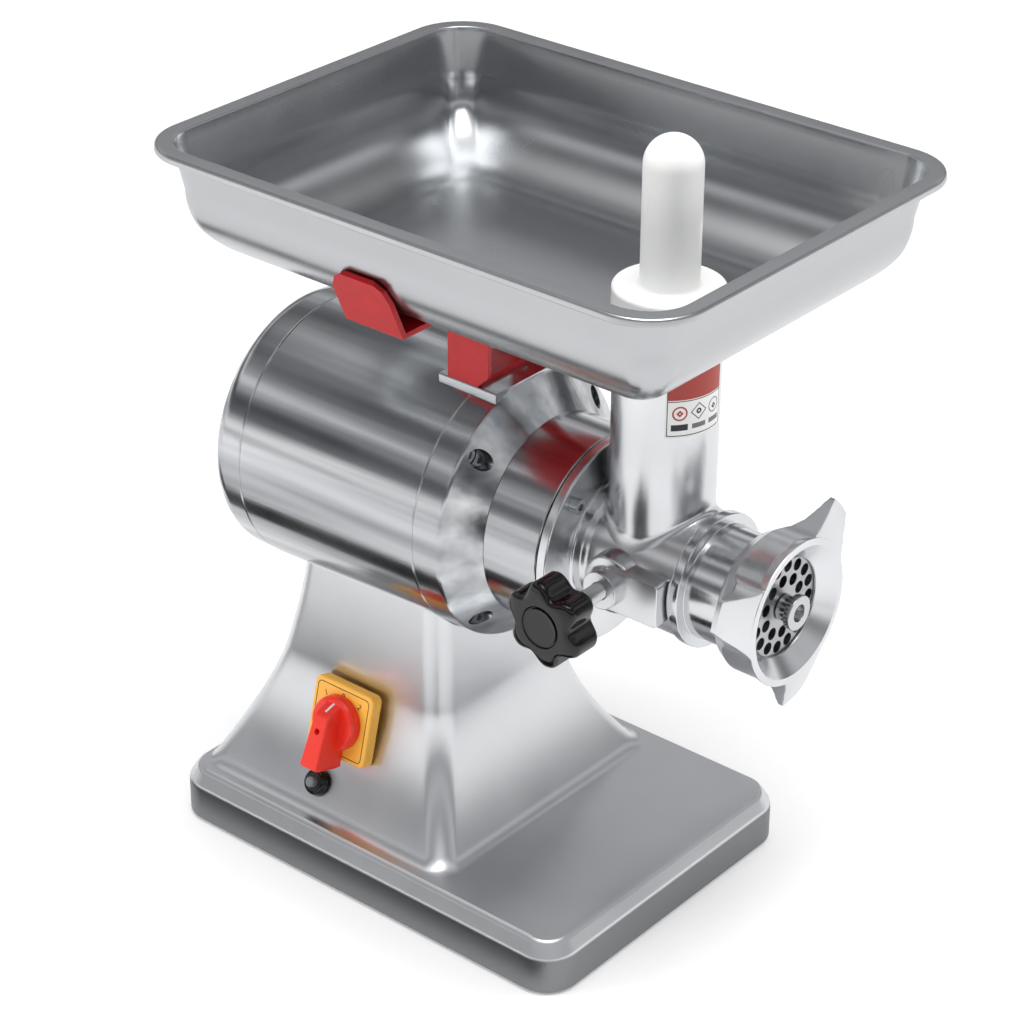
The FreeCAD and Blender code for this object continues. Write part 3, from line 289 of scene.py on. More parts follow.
def add(tree, kind, settings=None, **inputs):
    """Add a node: settings are its properties, inputs are values or sockets to link."""
    node = tree.nodes.new("ShaderNode" + kind)
    for key, value in (settings or {}).items():
        setattr(node, key, value)
    for key, value in inputs.items():
        socket = node.inputs[key.replace("_", " ")]
        if isinstance(value, bpy.types.NodeSocket):
            tree.links.new(value, socket)
        else:
            socket.default_value = value
    return node


def start(name, color, metallic, roughness, **extra):
    """A material with a Principled shader; returns its tree, shader and Object coordinates."""
    material = bpy.data.materials.new(name)
    material.use_nodes = True
    tree = material.node_tree
    shader = tree.nodes["Principled BSDF"]
    shader.inputs["Base Color"].default_value = srgb(color)
    shader.inputs["Metallic"].default_value = metallic
    shader.inputs["Roughness"].default_value = roughness
    for key, value in extra.items():
        shader.inputs[key.replace("_", " ")].default_value = value
    coords = tree.nodes.new("ShaderNodeTexCoord").outputs["Object"]
    return material, tree, shader, coords


def bumped(tree, shader, height, strength, depth_mm):
    """Feed a height pattern to the shader's normal; depth is the relief's real size."""
    bump = add(tree, "Bump", Strength=strength, Distance=depth_mm * MM, Height=height)
    tree.links.new(bump.outputs["Normal"], shader.inputs["Normal"])


def varied(tree, value, low, high):
    """Map a 0..1 pattern to a range, as a socket."""
    ranged = add(tree, "MapRange", Value=value, To_Min=low, To_Max=high)
    return ranged.outputs["Result"]


def mixed(tree, value, first, second):
    """Colour between two hex colours, by a 0..1 pattern."""
    ramp = tree.nodes.new("ShaderNodeValToRGB")
    ramp.color_ramp.elements[0].color = srgb(first)
    ramp.color_ramp.elements[1].color = srgb(second)
    ramp.color_ramp.elements[0].position = 0.25
    ramp.color_ramp.elements[1].position = 0.75
    tree.links.new(value, ramp.inputs["Fac"])
    return ramp.outputs["Color"]


def blended(tree, share, first, second):
    """Colour from a socket towards one hex colour, by a 0..1 socket."""
    mix = tree.nodes.new("ShaderNodeMix")
    mix.data_type = "RGBA"
    factor, low, high = mix.inputs[0], mix.inputs[6], mix.inputs[7]
    tree.links.new(share, factor)
    tree.links.new(first, low)
    high.default_value = srgb(second)
    return mix.outputs[2]


# %% [markdown]
# ### Metals
# *Polished casting*: sand-cast aluminium that was linished and buffed. It mirrors the room, but
# the hand-held wheel leaves it slightly wavy and a little cloudy.
# *Turned aluminium*: a lathe leaves rings round the part's axis. Real feed lines are about
# 0.2 mm apart, too fine to show here, so they are drawn about 1 mm apart.
# *Linished aluminium*: the motor casing was rubbed lengthwise after turning, which leaves streaks
# along it and breaks its reflections into long bands.
# *Satin stainless*: rolled sheet with a fine grain along its length.

# %% Metal finishes
SATIN_ROUGHNESS = 0.42
SATIN_FADE = 0.6                          # mm each side of the height where the finish changes


def noise(tree, vector, spacing_mm, detail=3.0, rough=0.55):
    """Noise whose features are about this far apart."""
    texture = add(tree, "TexNoise", Vector=vector, Scale=1 / (spacing_mm * MM), Detail=detail,
                  Roughness=rough)
    return texture.outputs["Fac"]


def stretched(tree, coords, scale, centre=(0, 0, 0)):
    """Coordinates moved to a centre and scaled, for grain that runs one way."""
    moved = add(tree, "Mapping", {"vector_type": "POINT"}, Vector=coords,
                Location=tuple(-c * MM * s for c, s in zip(centre, scale)), Scale=scale)
    return moved.outputs["Vector"]


def polished_casting(name, color, roughness, wave_mm=24, wave_depth=0.25, satin_below=None):
    """Buffed casting; below a height, if one is given, it was only linished to a darker satin."""
    material, tree, shader, coords = start(name, color, 1.0, roughness)
    waves = noise(tree, coords, wave_mm, 1.0)
    wheel = noise(tree, stretched(tree, coords, (1, 0.12, 1)), 1.1, 4.0)
    cloud = noise(tree, coords, 60, 2.0)
    rough = varied(tree, cloud, roughness * 0.85, roughness * 1.2)
    tone = mixed(tree, cloud, color, "#E2E3E5")
    if satin_below is not None:
        height = add(tree, "SeparateXYZ", Vector=coords).outputs["Z"]
        skirt = add(tree, "MapRange", Value=height, From_Min=(satin_below - SATIN_FADE) * MM,
                    From_Max=(satin_below + SATIN_FADE) * MM, To_Min=1.0,
                    To_Max=0.0).outputs["Result"]
        rough = add(tree, "Mix", {"data_type": "FLOAT"}, Factor=skirt, A=rough,
                    B=SATIN_ROUGHNESS).outputs["Result"]
        tone = blended(tree, skirt, tone, "#8E9092")
    tree.links.new(rough, shader.inputs["Roughness"])
    tree.links.new(tone, shader.inputs["Base Color"])
    broad = add(tree, "Bump", Strength=0.35, Distance=wave_depth * MM, Height=waves)
    fine = add(tree, "Bump", Strength=0.10, Distance=0.02 * MM, Height=wheel,
               Normal=broad.outputs["Normal"])
    tree.links.new(fine.outputs["Normal"], shader.inputs["Normal"])
    return material


def turned_metal(name, color, roughness, centre, axis, spacing_mm=1.0, strength=0.22):
    """Rings round an axis: the pattern depends only on the radius and the place along it."""
    material, tree, shader, coords = start(name, color, 1.0, roughness)
    local = add(tree, "SeparateXYZ", Vector=stretched(tree, coords, (1, 1, 1), centre))
    names = ["X", "Y", "Z"]
    along = names.pop(axis)
    first, second = (local.outputs[n] for n in names)
    flat = add(tree, "CombineXYZ", X=first, Y=second)
    radius = add(tree, "VectorMath", {"operation": "LENGTH"}, Vector=flat.outputs["Vector"])
    rings = add(tree, "CombineXYZ", X=radius.outputs["Value"], Y=local.outputs[along])
    lines = noise(tree, rings.outputs["Vector"], spacing_mm, 4.0, 0.7)
    bands = noise(tree, rings.outputs["Vector"], spacing_mm * 14, 2.0)
    cloud = noise(tree, coords, 22, 3.0)
    both = add(tree, "Math", {"operation": "MULTIPLY"}, Value=bands)
    tree.links.new(cloud, both.inputs[1])
    tree.links.new(varied(tree, both.outputs["Value"], roughness * 0.6, roughness * 2.0),
                   shader.inputs["Roughness"])
    bumped(tree, shader, lines, strength, 0.02)
    return material


def linished_casting(name, color, roughness):
    """Rubbed lengthwise after turning: fine streaks and shallow flats along the axis."""
    material, tree, shader, coords = start(name, color, 1.0, roughness)
    streaks = noise(tree, stretched(tree, coords, (1, 0.025, 1)), 1.6, 4.0, 0.65)
    flats = noise(tree, stretched(tree, coords, (1, 0.04, 1)), 15, 2.0)
    cloud = noise(tree, coords, 45, 2.0)
    tree.links.new(varied(tree, cloud, roughness * 0.75, roughness * 1.35),
                   shader.inputs["Roughness"])
    tree.links.new(mixed(tree, flats, "#8E9093", color), shader.inputs["Base Color"])
    broad = add(tree, "Bump", Strength=0.4, Distance=0.5 * MM, Height=flats)
    fine = add(tree, "Bump", Strength=0.30, Distance=0.03 * MM, Height=streaks,
               Normal=broad.outputs["Normal"])
    tree.links.new(fine.outputs["Normal"], shader.inputs["Normal"])
    return material


def grained_sheet(name, color, roughness, scale, strength=0.15):
    """Rolled sheet: streaks much longer than they are wide."""
    material, tree, shader, coords = start(name, color, 1.0, roughness)
    grain = noise(tree, stretched(tree, coords, scale), 0.9, 4.0, 0.65)
    cloud = noise(tree, coords, 40, 3.0)
    tree.links.new(varied(tree, cloud, roughness * 0.8, roughness * 1.3),
                   shader.inputs["Roughness"])
    bumped(tree, shader, grain, strength, 0.015)
    return material


finishes = {}
finishes["cast_aluminium"] = polished_casting("aluminium_casting_buffed", "#D8DADC", 0.32, 40, 0.3,
                                              SLAB_EDGE_Z)
finishes["polished_head"] = polished_casting("aluminium_casting_bright", "#CDCED0", 0.24, 18, 0.2)
finishes["polished_aluminium"] = linished_casting("aluminium_linished_lengthwise", "#D6D8DA", 0.17)
finishes["raw_aluminium"] = turned_metal(
    "aluminium_as_machined", "#B4B6B8", 0.38, (0, 0, AXIS_Z), 1, 1.2, 0.4)
finishes["stainless_sheet"] = grained_sheet("stainless_sheet_satin", "#B9BBBD", 0.24, (1, 0.05, 1))
finishes["stainless_bar"] = turned_metal(
    "stainless_bar_turned", "#C4C5C6", 0.22, (0, 0, AXIS_Z), 1, 0.9)
finishes["ground_steel"] = grained_sheet("tool_steel_surface_ground", "#AFB0B1", 0.28, (1, 1, 0.08))
finishes["zinc_screws"] = polished_casting("steel_bright_zinc", "#B4B8BC", 0.28, 6, 0.02)
finishes["zinc_sheet"] = grained_sheet("steel_sheet_galvanised", "#A4A8AC", 0.42, (1, 0.3, 1), 0.3)
finishes["capacitor_can"] = grained_sheet("aluminium_drawn_can", "#BABCBE", 0.35, (1, 0.06, 1))
finishes["gear_steel"] = turned_metal(
    "steel_hobbed_and_oiled", "#8E8F90", 0.30, (0, 0, AXIS_Z), 1, 0.8, 0.3)
finishes["bronze_bush"] = turned_metal(
    "bronze_sintered", "#A8824A", 0.45, (0, 0, AXIS_Z), 1, 0.8, 0.3)
barrel_metal = turned_metal(
    "aluminium_barrel_machined", "#D2D4D6", 0.17, (0, 0, AXIS_Z), 1, 0.9, 0.2)
stud_metal = turned_metal("steel_stud_rolled_thread", "#C2C4C6", 0.20, LOCK, 0, 0.8, 0.12)
print(len(finishes), "metal finishes")

# %% [markdown]
# ### Plastics, rubber, paint and the rest
# Moulded parts carry the fine texture of their tool; powder coat levels out with a faint orange
# peel; polyethylene lets a little light in; laminations and windings are built up of layers.

# %% Other finishes
def moulded(name, color, roughness, grain_mm=0.5, strength=0.12, **extra):
    material, tree, shader, coords = start(name, color, 0.0, roughness, **extra)
    grain = noise(tree, coords, grain_mm, 3.0)
    cloud = noise(tree, coords, 12, 3.0)
    tree.links.new(varied(tree, cloud, roughness * 0.8, roughness * 1.25),
                   shader.inputs["Roughness"])
    bumped(tree, shader, grain, strength, 0.03)
    return material


def powder_coat(name, color, roughness):
    """Orange peel: soft cells about 2 mm across under a clear gloss."""
    material, tree, shader, coords = start(name, color, 0.0, roughness, Coat_Weight=0.08,
                                           Coat_Roughness=0.12)
    peel = add(tree, "TexVoronoi", {"feature": "SMOOTH_F1"}, Vector=coords, Scale=1 / (2.0 * MM))
    bumped(tree, shader, peel.outputs["Distance"], 0.10, 0.06)
    cloud = noise(tree, coords, 9, 2.0)
    tree.links.new(mixed(tree, cloud, color, "#BE0410"), shader.inputs["Base Color"])
    return material


def layered(name, first, second, spacing_mm, axis, metallic, roughness):
    """Stacked or wound layers: stripes across one axis."""
    material, tree, shader, coords = start(name, first, metallic, roughness)
    scale = [0.02, 0.02, 0.02]
    scale[axis] = 1.0
    stripes = noise(tree, stretched(tree, coords, tuple(scale)), spacing_mm, 2.0)
    tree.links.new(mixed(tree, stripes, first, second), shader.inputs["Base Color"])
    bumped(tree, shader, stripes, 0.4, 0.1)
    return material


finishes["red_powder_coat"] = powder_coat("powder_coat_red_gloss", "#AE0008", 0.42)
finishes["black_rubber"] = moulded("rubber_black_moulded", "#1B1B1C", 0.62, 0.7, 0.3)
finishes["black_plastic"] = moulded("phenolic_black_gloss", "#060606", 0.14, 1.2, 0.05)
finishes["black_case"] = moulded("nylon_black_matt", "#1E1F20", 0.48, 0.6, 0.25)
finishes["yellow_plastic"] = moulded("abs_yellow", "#FFBE4A", 0.34, 0.8, 0.08)
finishes["red_plastic"] = moulded("abs_red", "#F0301F", 0.32, 0.8, 0.08)
finishes["grey_plastic"] = moulded("abs_grey", "#777B80", 0.40, 0.6, 0.12)
finishes["white_plastic"] = moulded(
    "polyethylene_white_turned", "#FCFCFA", 0.38, 0.9, 0.06, Subsurface_Weight=0.15,
    Subsurface_Scale=0.004)
finishes["label_film"] = moulded("polyester_label_film", "#F1F1EF", 0.30, 1.5, 0.04)
finishes["core_steel"] = layered("electrical_steel_laminated", "#55565A", "#3A3B3E", 1.0, 1, 1.0, 0.5)
finishes["enamelled_copper"] = layered(
    "copper_wire_enamelled", "#9A4A20", "#5E2A12", 1.2, 1, 0.6, 0.35)
ink_black = moulded("printing_ink_black", "#202022", 0.42, 0.6, 0.03)
ink_red = moulded("printing_ink_red", "#A83A30", 0.40, 0.6, 0.03)
ink_grey = moulded("printing_ink_grey", "#6C6C6E", 0.42, 0.6, 0.03)
ink_white = moulded("paint_white_filled_mark", "#EEEEEC", 0.40, 0.6, 0.03)
print(len(bpy.data.materials), "materials in all")

# %% [markdown]
# ## CAD parts that stay as they are
# The hidden parts and the small machined ones already have the right shape, so each one only
# gets the finish of its slot in the record.

# %% Finish every CAD node
slot_of = {part["node"]: part["material_slot"] for part in frame["record"]["subparts"]}
for name, piece in frame["nodes"].items():
    piece.data.materials.clear()
    piece.data.materials.append(finishes[slot_of[name]])
print("finished", len(slot_of), "CAD nodes")

# %% [markdown]
# ## The pedestal
# One casting: a low slab with a bevelled edge, and a column that flares down into it. Every level
# is a rounded rectangle, so the whole skin is one sheet of such loops, carried up over the edge,
# across the deck and up the column until it meets the round motor casing. The wall's thickness
# is added at the end.

# %% Rounded rectangles as a formula
def loop_shape(arc, side):
    """Once round a rounded rectangle: share of the straight part, and direction of the corner.

    A point is (sx (half - r) + r cx, sy (half - r) + r cy).
    """
    w = np.linspace(-1, 1, side, endpoint=False)
    phi = np.linspace(0, np.pi / 2, arc, endpoint=False)
    quarter_turn = np.array([[0, 1], [-1, 0]])
    out = []
    for k in range(4):
        spin = np.linalg.matrix_power(quarter_turn, k)
        flat = np.column_stack([np.ones(side), w]) @ spin
        bend = np.ones((arc, 2)) @ spin
        out.append(np.hstack([flat, np.tile([[1.0, 0.0]], (side, 1)) @ spin]))
        out.append(np.hstack([bend, np.column_stack([np.cos(phi), np.sin(phi)]) @ spin]))
    return np.concatenate(out).T


def loop_points(shape, half_x, front, rear, r, z):
    """Points of rounded rectangles; half_x, front, rear, r and z may vary along the rows."""
    sx, sy, cx, cy = shape
    half_y = (rear - front) / 2
    x = sx * (half_x - r) + r * cx
    y = (rear + front) / 2 + sy * (half_y - r) + r * cy
    return np.stack(np.broadcast_arrays(x, y, z), -1)


# %% The pedestal's skin
SLAB_CORNER = 21.0
DECK_INSET = 7.6
COLUMN_HALF = 60.5
COLUMN_CORNER = 13.0
SIDE_FLARE, SIDE_FLARE_TOP = 34.0, 112.0
FRONT_FLARE = 31.5
REAR_FLARE, REAR_FLARE_TOP = 54.0, 190.0
FLARE_POWER, REAR_FLARE_POWER = 1.75, 1.35
ROOT_RISE, ROOT_OUT, ROOT_OUT_REAR = 6.0, 4.5, 1.2
SEAM_GAP = 0.8
PEDESTAL_WALL = 6.0
slab_x = span("pedestal_casting", 0)[1]
slab_front, slab_rear = span("pedestal_casting", 1)
slab_foot = span("pedestal_casting", 2)[0]
deck_z = slab_foot + 32.5
column_front = slab_front + 125.0
column_rear = slab_rear - 63.5
casing_low, casing_high = span("motor_housing", 1)
CASE_FRONT_R, CASE_REAR_R = 79.1, 81.4


def casing_radius(y):
    """The casing tapers evenly from its rear seam to its front one."""
    share = np.clip((y - casing_low) / (casing_high - casing_low), 0, 1)
    return CASE_FRONT_R + (CASE_REAR_R - CASE_FRONT_R) * share


def flare(z, top, power):
    """0 at the top of the flare and above it, 1 at the deck."""
    return np.clip((top - z) / (top - deck_z), 0, 1) ** power


def column_loop(shape, z, outset, rear_outset):
    """The column's section at height z, which may differ from point to point."""
    spread = flare(z, SIDE_FLARE_TOP, FLARE_POWER)
    half = COLUMN_HALF + SIDE_FLARE * spread + outset
    front = column_front - FRONT_FLARE * spread - outset
    rear = column_rear + REAR_FLARE * flare(z, REAR_FLARE_TOP, REAR_FLARE_POWER) + rear_outset
    return loop_points(shape, half, front, rear, COLUMN_CORNER + outset, z)


def pedestal_skin():
    """Slab edge, deck and column as one grid of loops."""
    shape = loop_shape(14, 40)
    edge = rounded([(0.9, slab_foot), (0, slab_foot + 0.9), (0, SLAB_EDGE_Z, 2.0),
                    (5.2, deck_z - 1.6, 2.5), (DECK_INSET, deck_z)], 0.5, 5)
    inset, z = edge[:, :1], edge[:, 1:]
    slab = loop_points(shape, slab_x - inset, slab_front + inset, slab_rear - inset,
                       SLAB_CORNER - inset, z)
    t = np.linspace(0, 1, 9)[:, None]
    root = column_loop(shape, deck_z + ROOT_RISE * t ** 2, ROOT_OUT * (1 - t) ** 2,
                       ROOT_OUT_REAR * (1 - t) ** 2)
    deck_share = np.linspace(0, 1, 6)[1:-1, None, None]
    deck = slab[-1] * (1 - deck_share) + root[0] * deck_share
    plain = column_loop(shape, np.full((1, 1), SIDE_FLARE_TOP), 0.0, 0.0)
    x, y = plain[..., 0], np.clip(plain[..., 1], casing_low, casing_high)
    reach = casing_radius(y) - SEAM_GAP
    top = AXIS_Z - np.sqrt(reach ** 2 - x ** 2)
    rise = np.linspace(0, 1, 60)[1:, None]
    low = deck_z + ROOT_RISE
    column = column_loop(shape, low + (top - low) * rise, 0.0, 0.0)
    return np.concatenate([slab, deck, root, column]), False, True


pedestal = make_piece("pedestal", [pedestal_skin()], "machine", "cast_aluminium",
                      ("pedestal_casting",), 45)
wall = pedestal.modifiers.new("wall", "SOLIDIFY")
wall.thickness = PEDESTAL_WALL * MM
wall.offset = -1.0
pedestal.modifiers.move(1, 0)

# %% [markdown]
# The feet, the sheet that closes the base and the inlet gland's boss at the back finish the
# pedestal. The feet are turned discs with a recess for their screw.

# %% Boss of the inlet gland, and small parts of the base
gland_x = sum(span("inlet_gland", 0)) / 2
gland_z = sum(span("inlet_gland", 2)) / 2
gland_rear = span("inlet_gland", 1)[1]
GLAND_BACK = seat((gland_x, gland_rear, gland_z), (0, 1, 0), (1, 0, 0))
make_piece("gland_boss", [lathe(rounded([(8.1, -35), (14, -35), (14, -15), (8.1, -15)], 0.8, 4,
                                        True), GLAND_BACK, 72)],
           "machine", "cast_aluminium")
make_piece("inlet_gland_body", [lathe(rounded(
    [(4.5, -43), (8, -43), (8, -15), (12, -15), (12, -11.5), (10.5, -11.5), (10.5, -6, 1.0),
     (7.5, 0, 1.0), (4.5, 0)], 0.4, 4, True), GLAND_BACK, 72)],
    "machine", "black_case", ("inlet_gland",))
dressed("rubber_feet", 0.5, "machine", "black_rubber")
dressed("bottom_plate", 0.3, "machine", "zinc_sheet")

# %% [markdown]
# ## The motor casing and the gearbox
# These were turned: a profile spun about the axis. Two of them also carry the flat pad on top
# that the pan's bracket stands on, so their section is a circle with a flat step in it.

# %% Casing sections with a pad
PAD_HALF = 29.0
PAD_EDGE = 1.2
PAD_LENGTH = 23.1
pad_top = span("pan_support", 2)[0] - AXIS_Z


def padded_section(radius, count=220):
    """Circle of the given radii with a flat pad on top: rows are radii, columns go round."""
    radius = np.asarray(radius, float)[:, None]
    start_angle = np.arccos(PAD_HALF / radius)
    t = np.linspace(0, 1, count)
    angle = start_angle - t * (np.pi + 2 * start_angle)
    circle = np.stack([radius * np.cos(angle), radius * np.sin(angle)], -1)
    phi = np.linspace(0, np.pi / 2, 6)
    bend = np.column_stack([PAD_HALF - PAD_EDGE + PAD_EDGE * np.cos(phi),
                            pad_top - PAD_EDGE + PAD_EDGE * np.sin(phi)])
    flat = np.linspace(-1, 1, 26)[1:-1, None] * [PAD_HALF - PAD_EDGE, 0] + [0, pad_top]
    pad = np.concatenate([bend * [-1, 1], flat, bend[::-1]])
    pad = np.broadcast_to(pad, (len(radius), *pad.shape))
    return np.concatenate([circle, pad], 1)


def plain_section(radius, like):
    """Circle points at the same angles as another section."""
    angle = np.arctan2(like[..., 1], like[..., 0])
    radius = np.asarray(radius, float)[:, None]
    return np.stack([radius * np.cos(angle), radius * np.sin(angle)], -1)


def casing_grid(outer, bore, pad_from, pad_to):
    """Shell from (radius, height) outside, a bore inside, and the pad between two heights."""
    radius, height = outer[:, 0], outer[:, 1]
    with_pad = padded_section(radius)
    without = plain_section(radius, with_pad)
    on_pad = (height >= pad_from) & (height <= pad_to)
    section = np.where(on_pad[:, None, None], with_pad, without)
    inner = plain_section(bore[:, 0], with_pad[:1].repeat(len(bore), 0))
    section = np.concatenate([section, inner])
    height = np.concatenate([height, bore[:, 1]])
    tall = np.broadcast_to(height[:, None, None], (*section.shape[:2], 1))
    return put(np.concatenate([section, tall], -1), OUTLET), True, True


# %% Motor casing, end bell, gear cover and nose
SEAM_R, SEAM_STEP = 0.7, 0.6              # how far a seam's edge is drawn in, and along how much
LIP_SIDE_R, CASE_BORE, WINDOW_R = 78.6, 74, 66
rear_s, front_s = -casing_high, -casing_low
pad_s = front_s - PAD_LENGTH
stations = np.concatenate([np.linspace(rear_s, pad_s - 2, 10)[1:], [pad_s - 0.6, pad_s],
                           np.linspace(pad_s, front_s, 5)[1:-1]])
taper = np.column_stack([casing_radius(-stations), stations])
shell = np.concatenate([
    rounded([(CASE_REAR_R - SEAM_R, rear_s), (CASE_REAR_R, rear_s + SEAM_STEP), tuple(taper[0])],
            0.3, 3),
    taper[1:-1],
    rounded([tuple(taper[-1]), (CASE_FRONT_R, front_s - SEAM_STEP),
             (CASE_FRONT_R - SEAM_STEP, front_s)], 0.3, 3)])
casing_bore = np.array([(WINDOW_R, front_s), (WINDOW_R, front_s - 12), (CASE_BORE, front_s - 12),
                        (CASE_BORE, rear_s)])
make_piece("motor_casing", [casing_grid(shell, casing_bore, pad_s - 0.1, front_s + 1)],
           "machine", "polished_aluminium", ("motor_housing",))

cone_s = -span("gear_cover", 1)[0]
lip_s = cone_s - 17.0
outside = np.concatenate([
    rounded([(CASE_FRONT_R - SEAM_STEP, front_s), (CASE_FRONT_R, front_s + SEAM_STEP),
             (LIP_SIDE_R + 0.1, lip_s - 1.0), (LIP_SIDE_R, lip_s)], 0.3, 3),
    rounded([(LIP_SIDE_R, lip_s + 0.001), (LIP_SIDE_R - 0.7, lip_s + 0.9), (59.6, cone_s)],
            0.5, 3)])
cover = make_piece("gear_cover_shell", [casing_grid(
    outside, np.array([(54, cone_s), (54, cone_s - 6), (64, cone_s - 18), (64, front_s)]),
    front_s - 1, lip_s)],
    "machine", "polished_aluminium", ("gear_cover",))
SCREW_R, SCREW_WELL_R, BELL_WELL_R = 70.5, 5.6, 4.8
quarter = np.radians(45 + 90 * np.arange(4))
cut(cover, [rod(SCREW_WELL_R, cone_s - 24, cone_s + 3,
                seat((SCREW_R * np.cos(a), 0, AXIS_Z + SCREW_R * np.sin(a)), (0, -1, 0),
                     (1, 0, 0))) for a in quarter])

nose_s = -span("gearbox_nose", 1)[0]
make_piece("gearbox_nose_turned", [lathe(rounded(
    [(26, cone_s), (59.4, cone_s), (60, cone_s + 0.6), (60, nose_s - 0.6), (59.4, nose_s),
     (26, nose_s)], 0.3, 3, True), OUTLET, 240)],
    "machine", "polished_aluminium", ("gearbox_nose",))
make_piece("nose_joint", [lathe(rounded(
    [(34, nose_s), (59.1, nose_s), (59.1, nose_s + 1.2), (34, nose_s + 1.2)], 0.2, 3, True),
    OUTLET, 180)],
    "machine", "black_rubber", ("nose_gasket",))

# %% End bell with its cooling slots
bell_s = -span("end_bell", 1)[1]
SLOT_COUNT = 16
SLOT_SPAN, SLOT_HALF = (32, 56), 2        # from the middle outwards, and half a slot's width
bell = make_piece("end_bell_shell", [lathe(rounded(
    [(74, rear_s), (80.7, rear_s), (81.2, rear_s - 0.7), (81.0, bell_s, 14.0), (22, bell_s, 1.0),
     (20, bell_s + 1.5, 1.0), (0, bell_s + 1.5)], 0.3, 8), OUTLET, 240),
    lathe([(0, bell_s + 4.5), (23, bell_s + 4.5), (64, bell_s + 6), (74, bell_s + 14),
           (74, rear_s)], OUTLET, 240)],
    "machine", "polished_aluminium", ("end_bell",))
cutters = []
for k in range(SLOT_COUNT):
    a = 2 * math.pi * (k + 0.5) / SLOT_COUNT
    radial = (math.cos(a), 0, math.sin(a))
    cutters.append(block((SLOT_SPAN, (-SLOT_HALF, SLOT_HALF), (-8, 12)),
                         seat((0, -bell_s, AXIS_Z), (0, 1, 0), radial)))
for a in quarter:
    well = (SCREW_R * np.cos(a), -bell_s, AXIS_Z + SCREW_R * np.sin(a))
    cutters.append(rod(BELL_WELL_R, -9, 5, seat(well, (0, 1, 0), (1, 0, 0))))
cut(bell, cutters)

# %% Screws
for name in ("end_bell_screws", "gear_cover_screws", "flange_screws", "pan_support_screws"):
    dressed(name, 0.25, "machine", "zinc_screws")

# %% [markdown]
# ## The head
# A casting with a machined flange, a level housing, the upright feed tube and, on one side, the
# round pad, the boss and the block of the lock. The tube's foot is blended into the housing: for
# each direction round the tube, a quarter curve leaves the wall and lands on the housing.

# %% Head casting
flange_s = -span("feed_head", 1)[1]
mouth_s = -span("feed_head", 1)[0]
tube_top = span("feed_head", 2)[1]
FLANGE_R, HUB_R, HEAD_R, HEAD_BORE = 60.7, 37.9, 36.5, 31.3
TUBE_R, TUBE_BORE, BLEND = 29.1, 25.0, 4.5


def tube_skin():
    """Feed tube: bore, rim, wall and a blended foot that follows the round housing."""
    a = np.linspace(0, 2 * np.pi, 180, endpoint=False)[:, None]
    t = np.linspace(0, 1, 14) * np.pi / 2
    r = TUBE_R + BLEND * (1 - np.cos(t))
    reach = np.clip(np.abs(r * np.cos(a)), 0, HEAD_R - 0.2)
    housing = np.sqrt(HEAD_R ** 2 - reach ** 2)
    foot = AXIS_Z + housing - 0.3 + BLEND * (1 - np.sin(t))
    x, y = np.sign(np.cos(a)) * reach, r * np.sin(a)
    blended = np.stack([x, y, foot], -1)
    wall_top = rounded([(TUBE_BORE, AXIS_Z + 5), (TUBE_BORE, tube_top, 0.8),
                        (TUBE_R, tube_top, 0.8), (TUBE_R, AXIS_Z + 60)], 0.8, 4)
    up = np.stack([wall_top[:, 0] * np.cos(a), wall_top[:, 0] * np.sin(a),
                   wall_top[:, 1] + 0 * a], -1)
    inside = blended[:, -1:] * [0.8, 0.8, 1] - [0, 0, 6]
    return put(np.concatenate([up, blended, inside], 1), UPRIGHT), True, True


head_parts = [
    lathe(rounded([(HEAD_BORE, flange_s), (60.2, flange_s), (FLANGE_R, flange_s + 0.5),
                   (FLANGE_R, flange_s + 5.8, 1.2), (HUB_R, flange_s + 5.8, 2.5),
                   (HUB_R, flange_s + 12, 1.0), (HEAD_R, flange_s + 15, 1.5),
                   (HEAD_R, mouth_s, 0.7), (HEAD_BORE, mouth_s)], 0.5, 5, True), OUTLET, 240),
    tube_skin(),
    lathe(rounded([(0, 10), (19.5, 10), (17, 36, 4), (17, 43, 2.2), (11, 43.5, 2.0), (11, 51, 0.8),
                   (5.2, 51, 0.3), (5.2, 46), (0, 46)], 0.8, 6), KNOB_SEAT, 120),
]
make_piece("feed_head_casting", head_parts, "machine", "polished_head", ("feed_head",))


def closed_ends(rows):
    """Rows of a tube, with each end drawn in to a point at its own middle."""
    first = rows[:1].mean(1, keepdims=True) + 0 * rows[:1]
    last = rows[-1:].mean(1, keepdims=True) + 0 * rows[-1:]
    return np.concatenate([first, rows, last])


def rounded_block(x, y, z, radius, soft, where):
    """Box with rounded upright edges and softened ends, as loops carried along its height."""
    shape = loop_shape(6, 2)
    rows = rounded([(1.0, z[0]), (0, z[0]), (0, z[1]), (1.0, z[1])], soft, 4)
    rows[0, 0] = rows[-1, 0] = soft
    mid = (x[0] + x[1]) / 2
    half = (x[1] - x[0]) / 2
    body = loop_points(shape, half - rows[:, :1], y[0] + rows[:, :1], y[1] - rows[:, :1],
                       radius, rows[:, 1:])
    return put(closed_ends(body) + [mid, 0, 0], where), False, True


BLOCK_X, BLOCK_Y, BLOCK_Z = (0.0, 35.0), (-12.5, 13.0), (15.0, 46.0)
BLOCK_CORNER, BLOCK_SOFT = 2.0, 1.4
make_piece("lock_block", [rounded_block(BLOCK_X, BLOCK_Y, BLOCK_Z, BLOCK_CORNER, BLOCK_SOFT,
                                        seat((0, LOCK[1], LOCK[2]), (-1, 0, 0), (0, -1, 0)))],
           "machine", "polished_head")

# %% [markdown]
# ## Barrel, plate and nut
# The barrel's collar and neck are turned. The nut is a cast ring with three wings: seen along
# the axis its outline is a circle that rises to a horn three times round, so its outer radius is
# a formula of the angle and of the place along the axis.

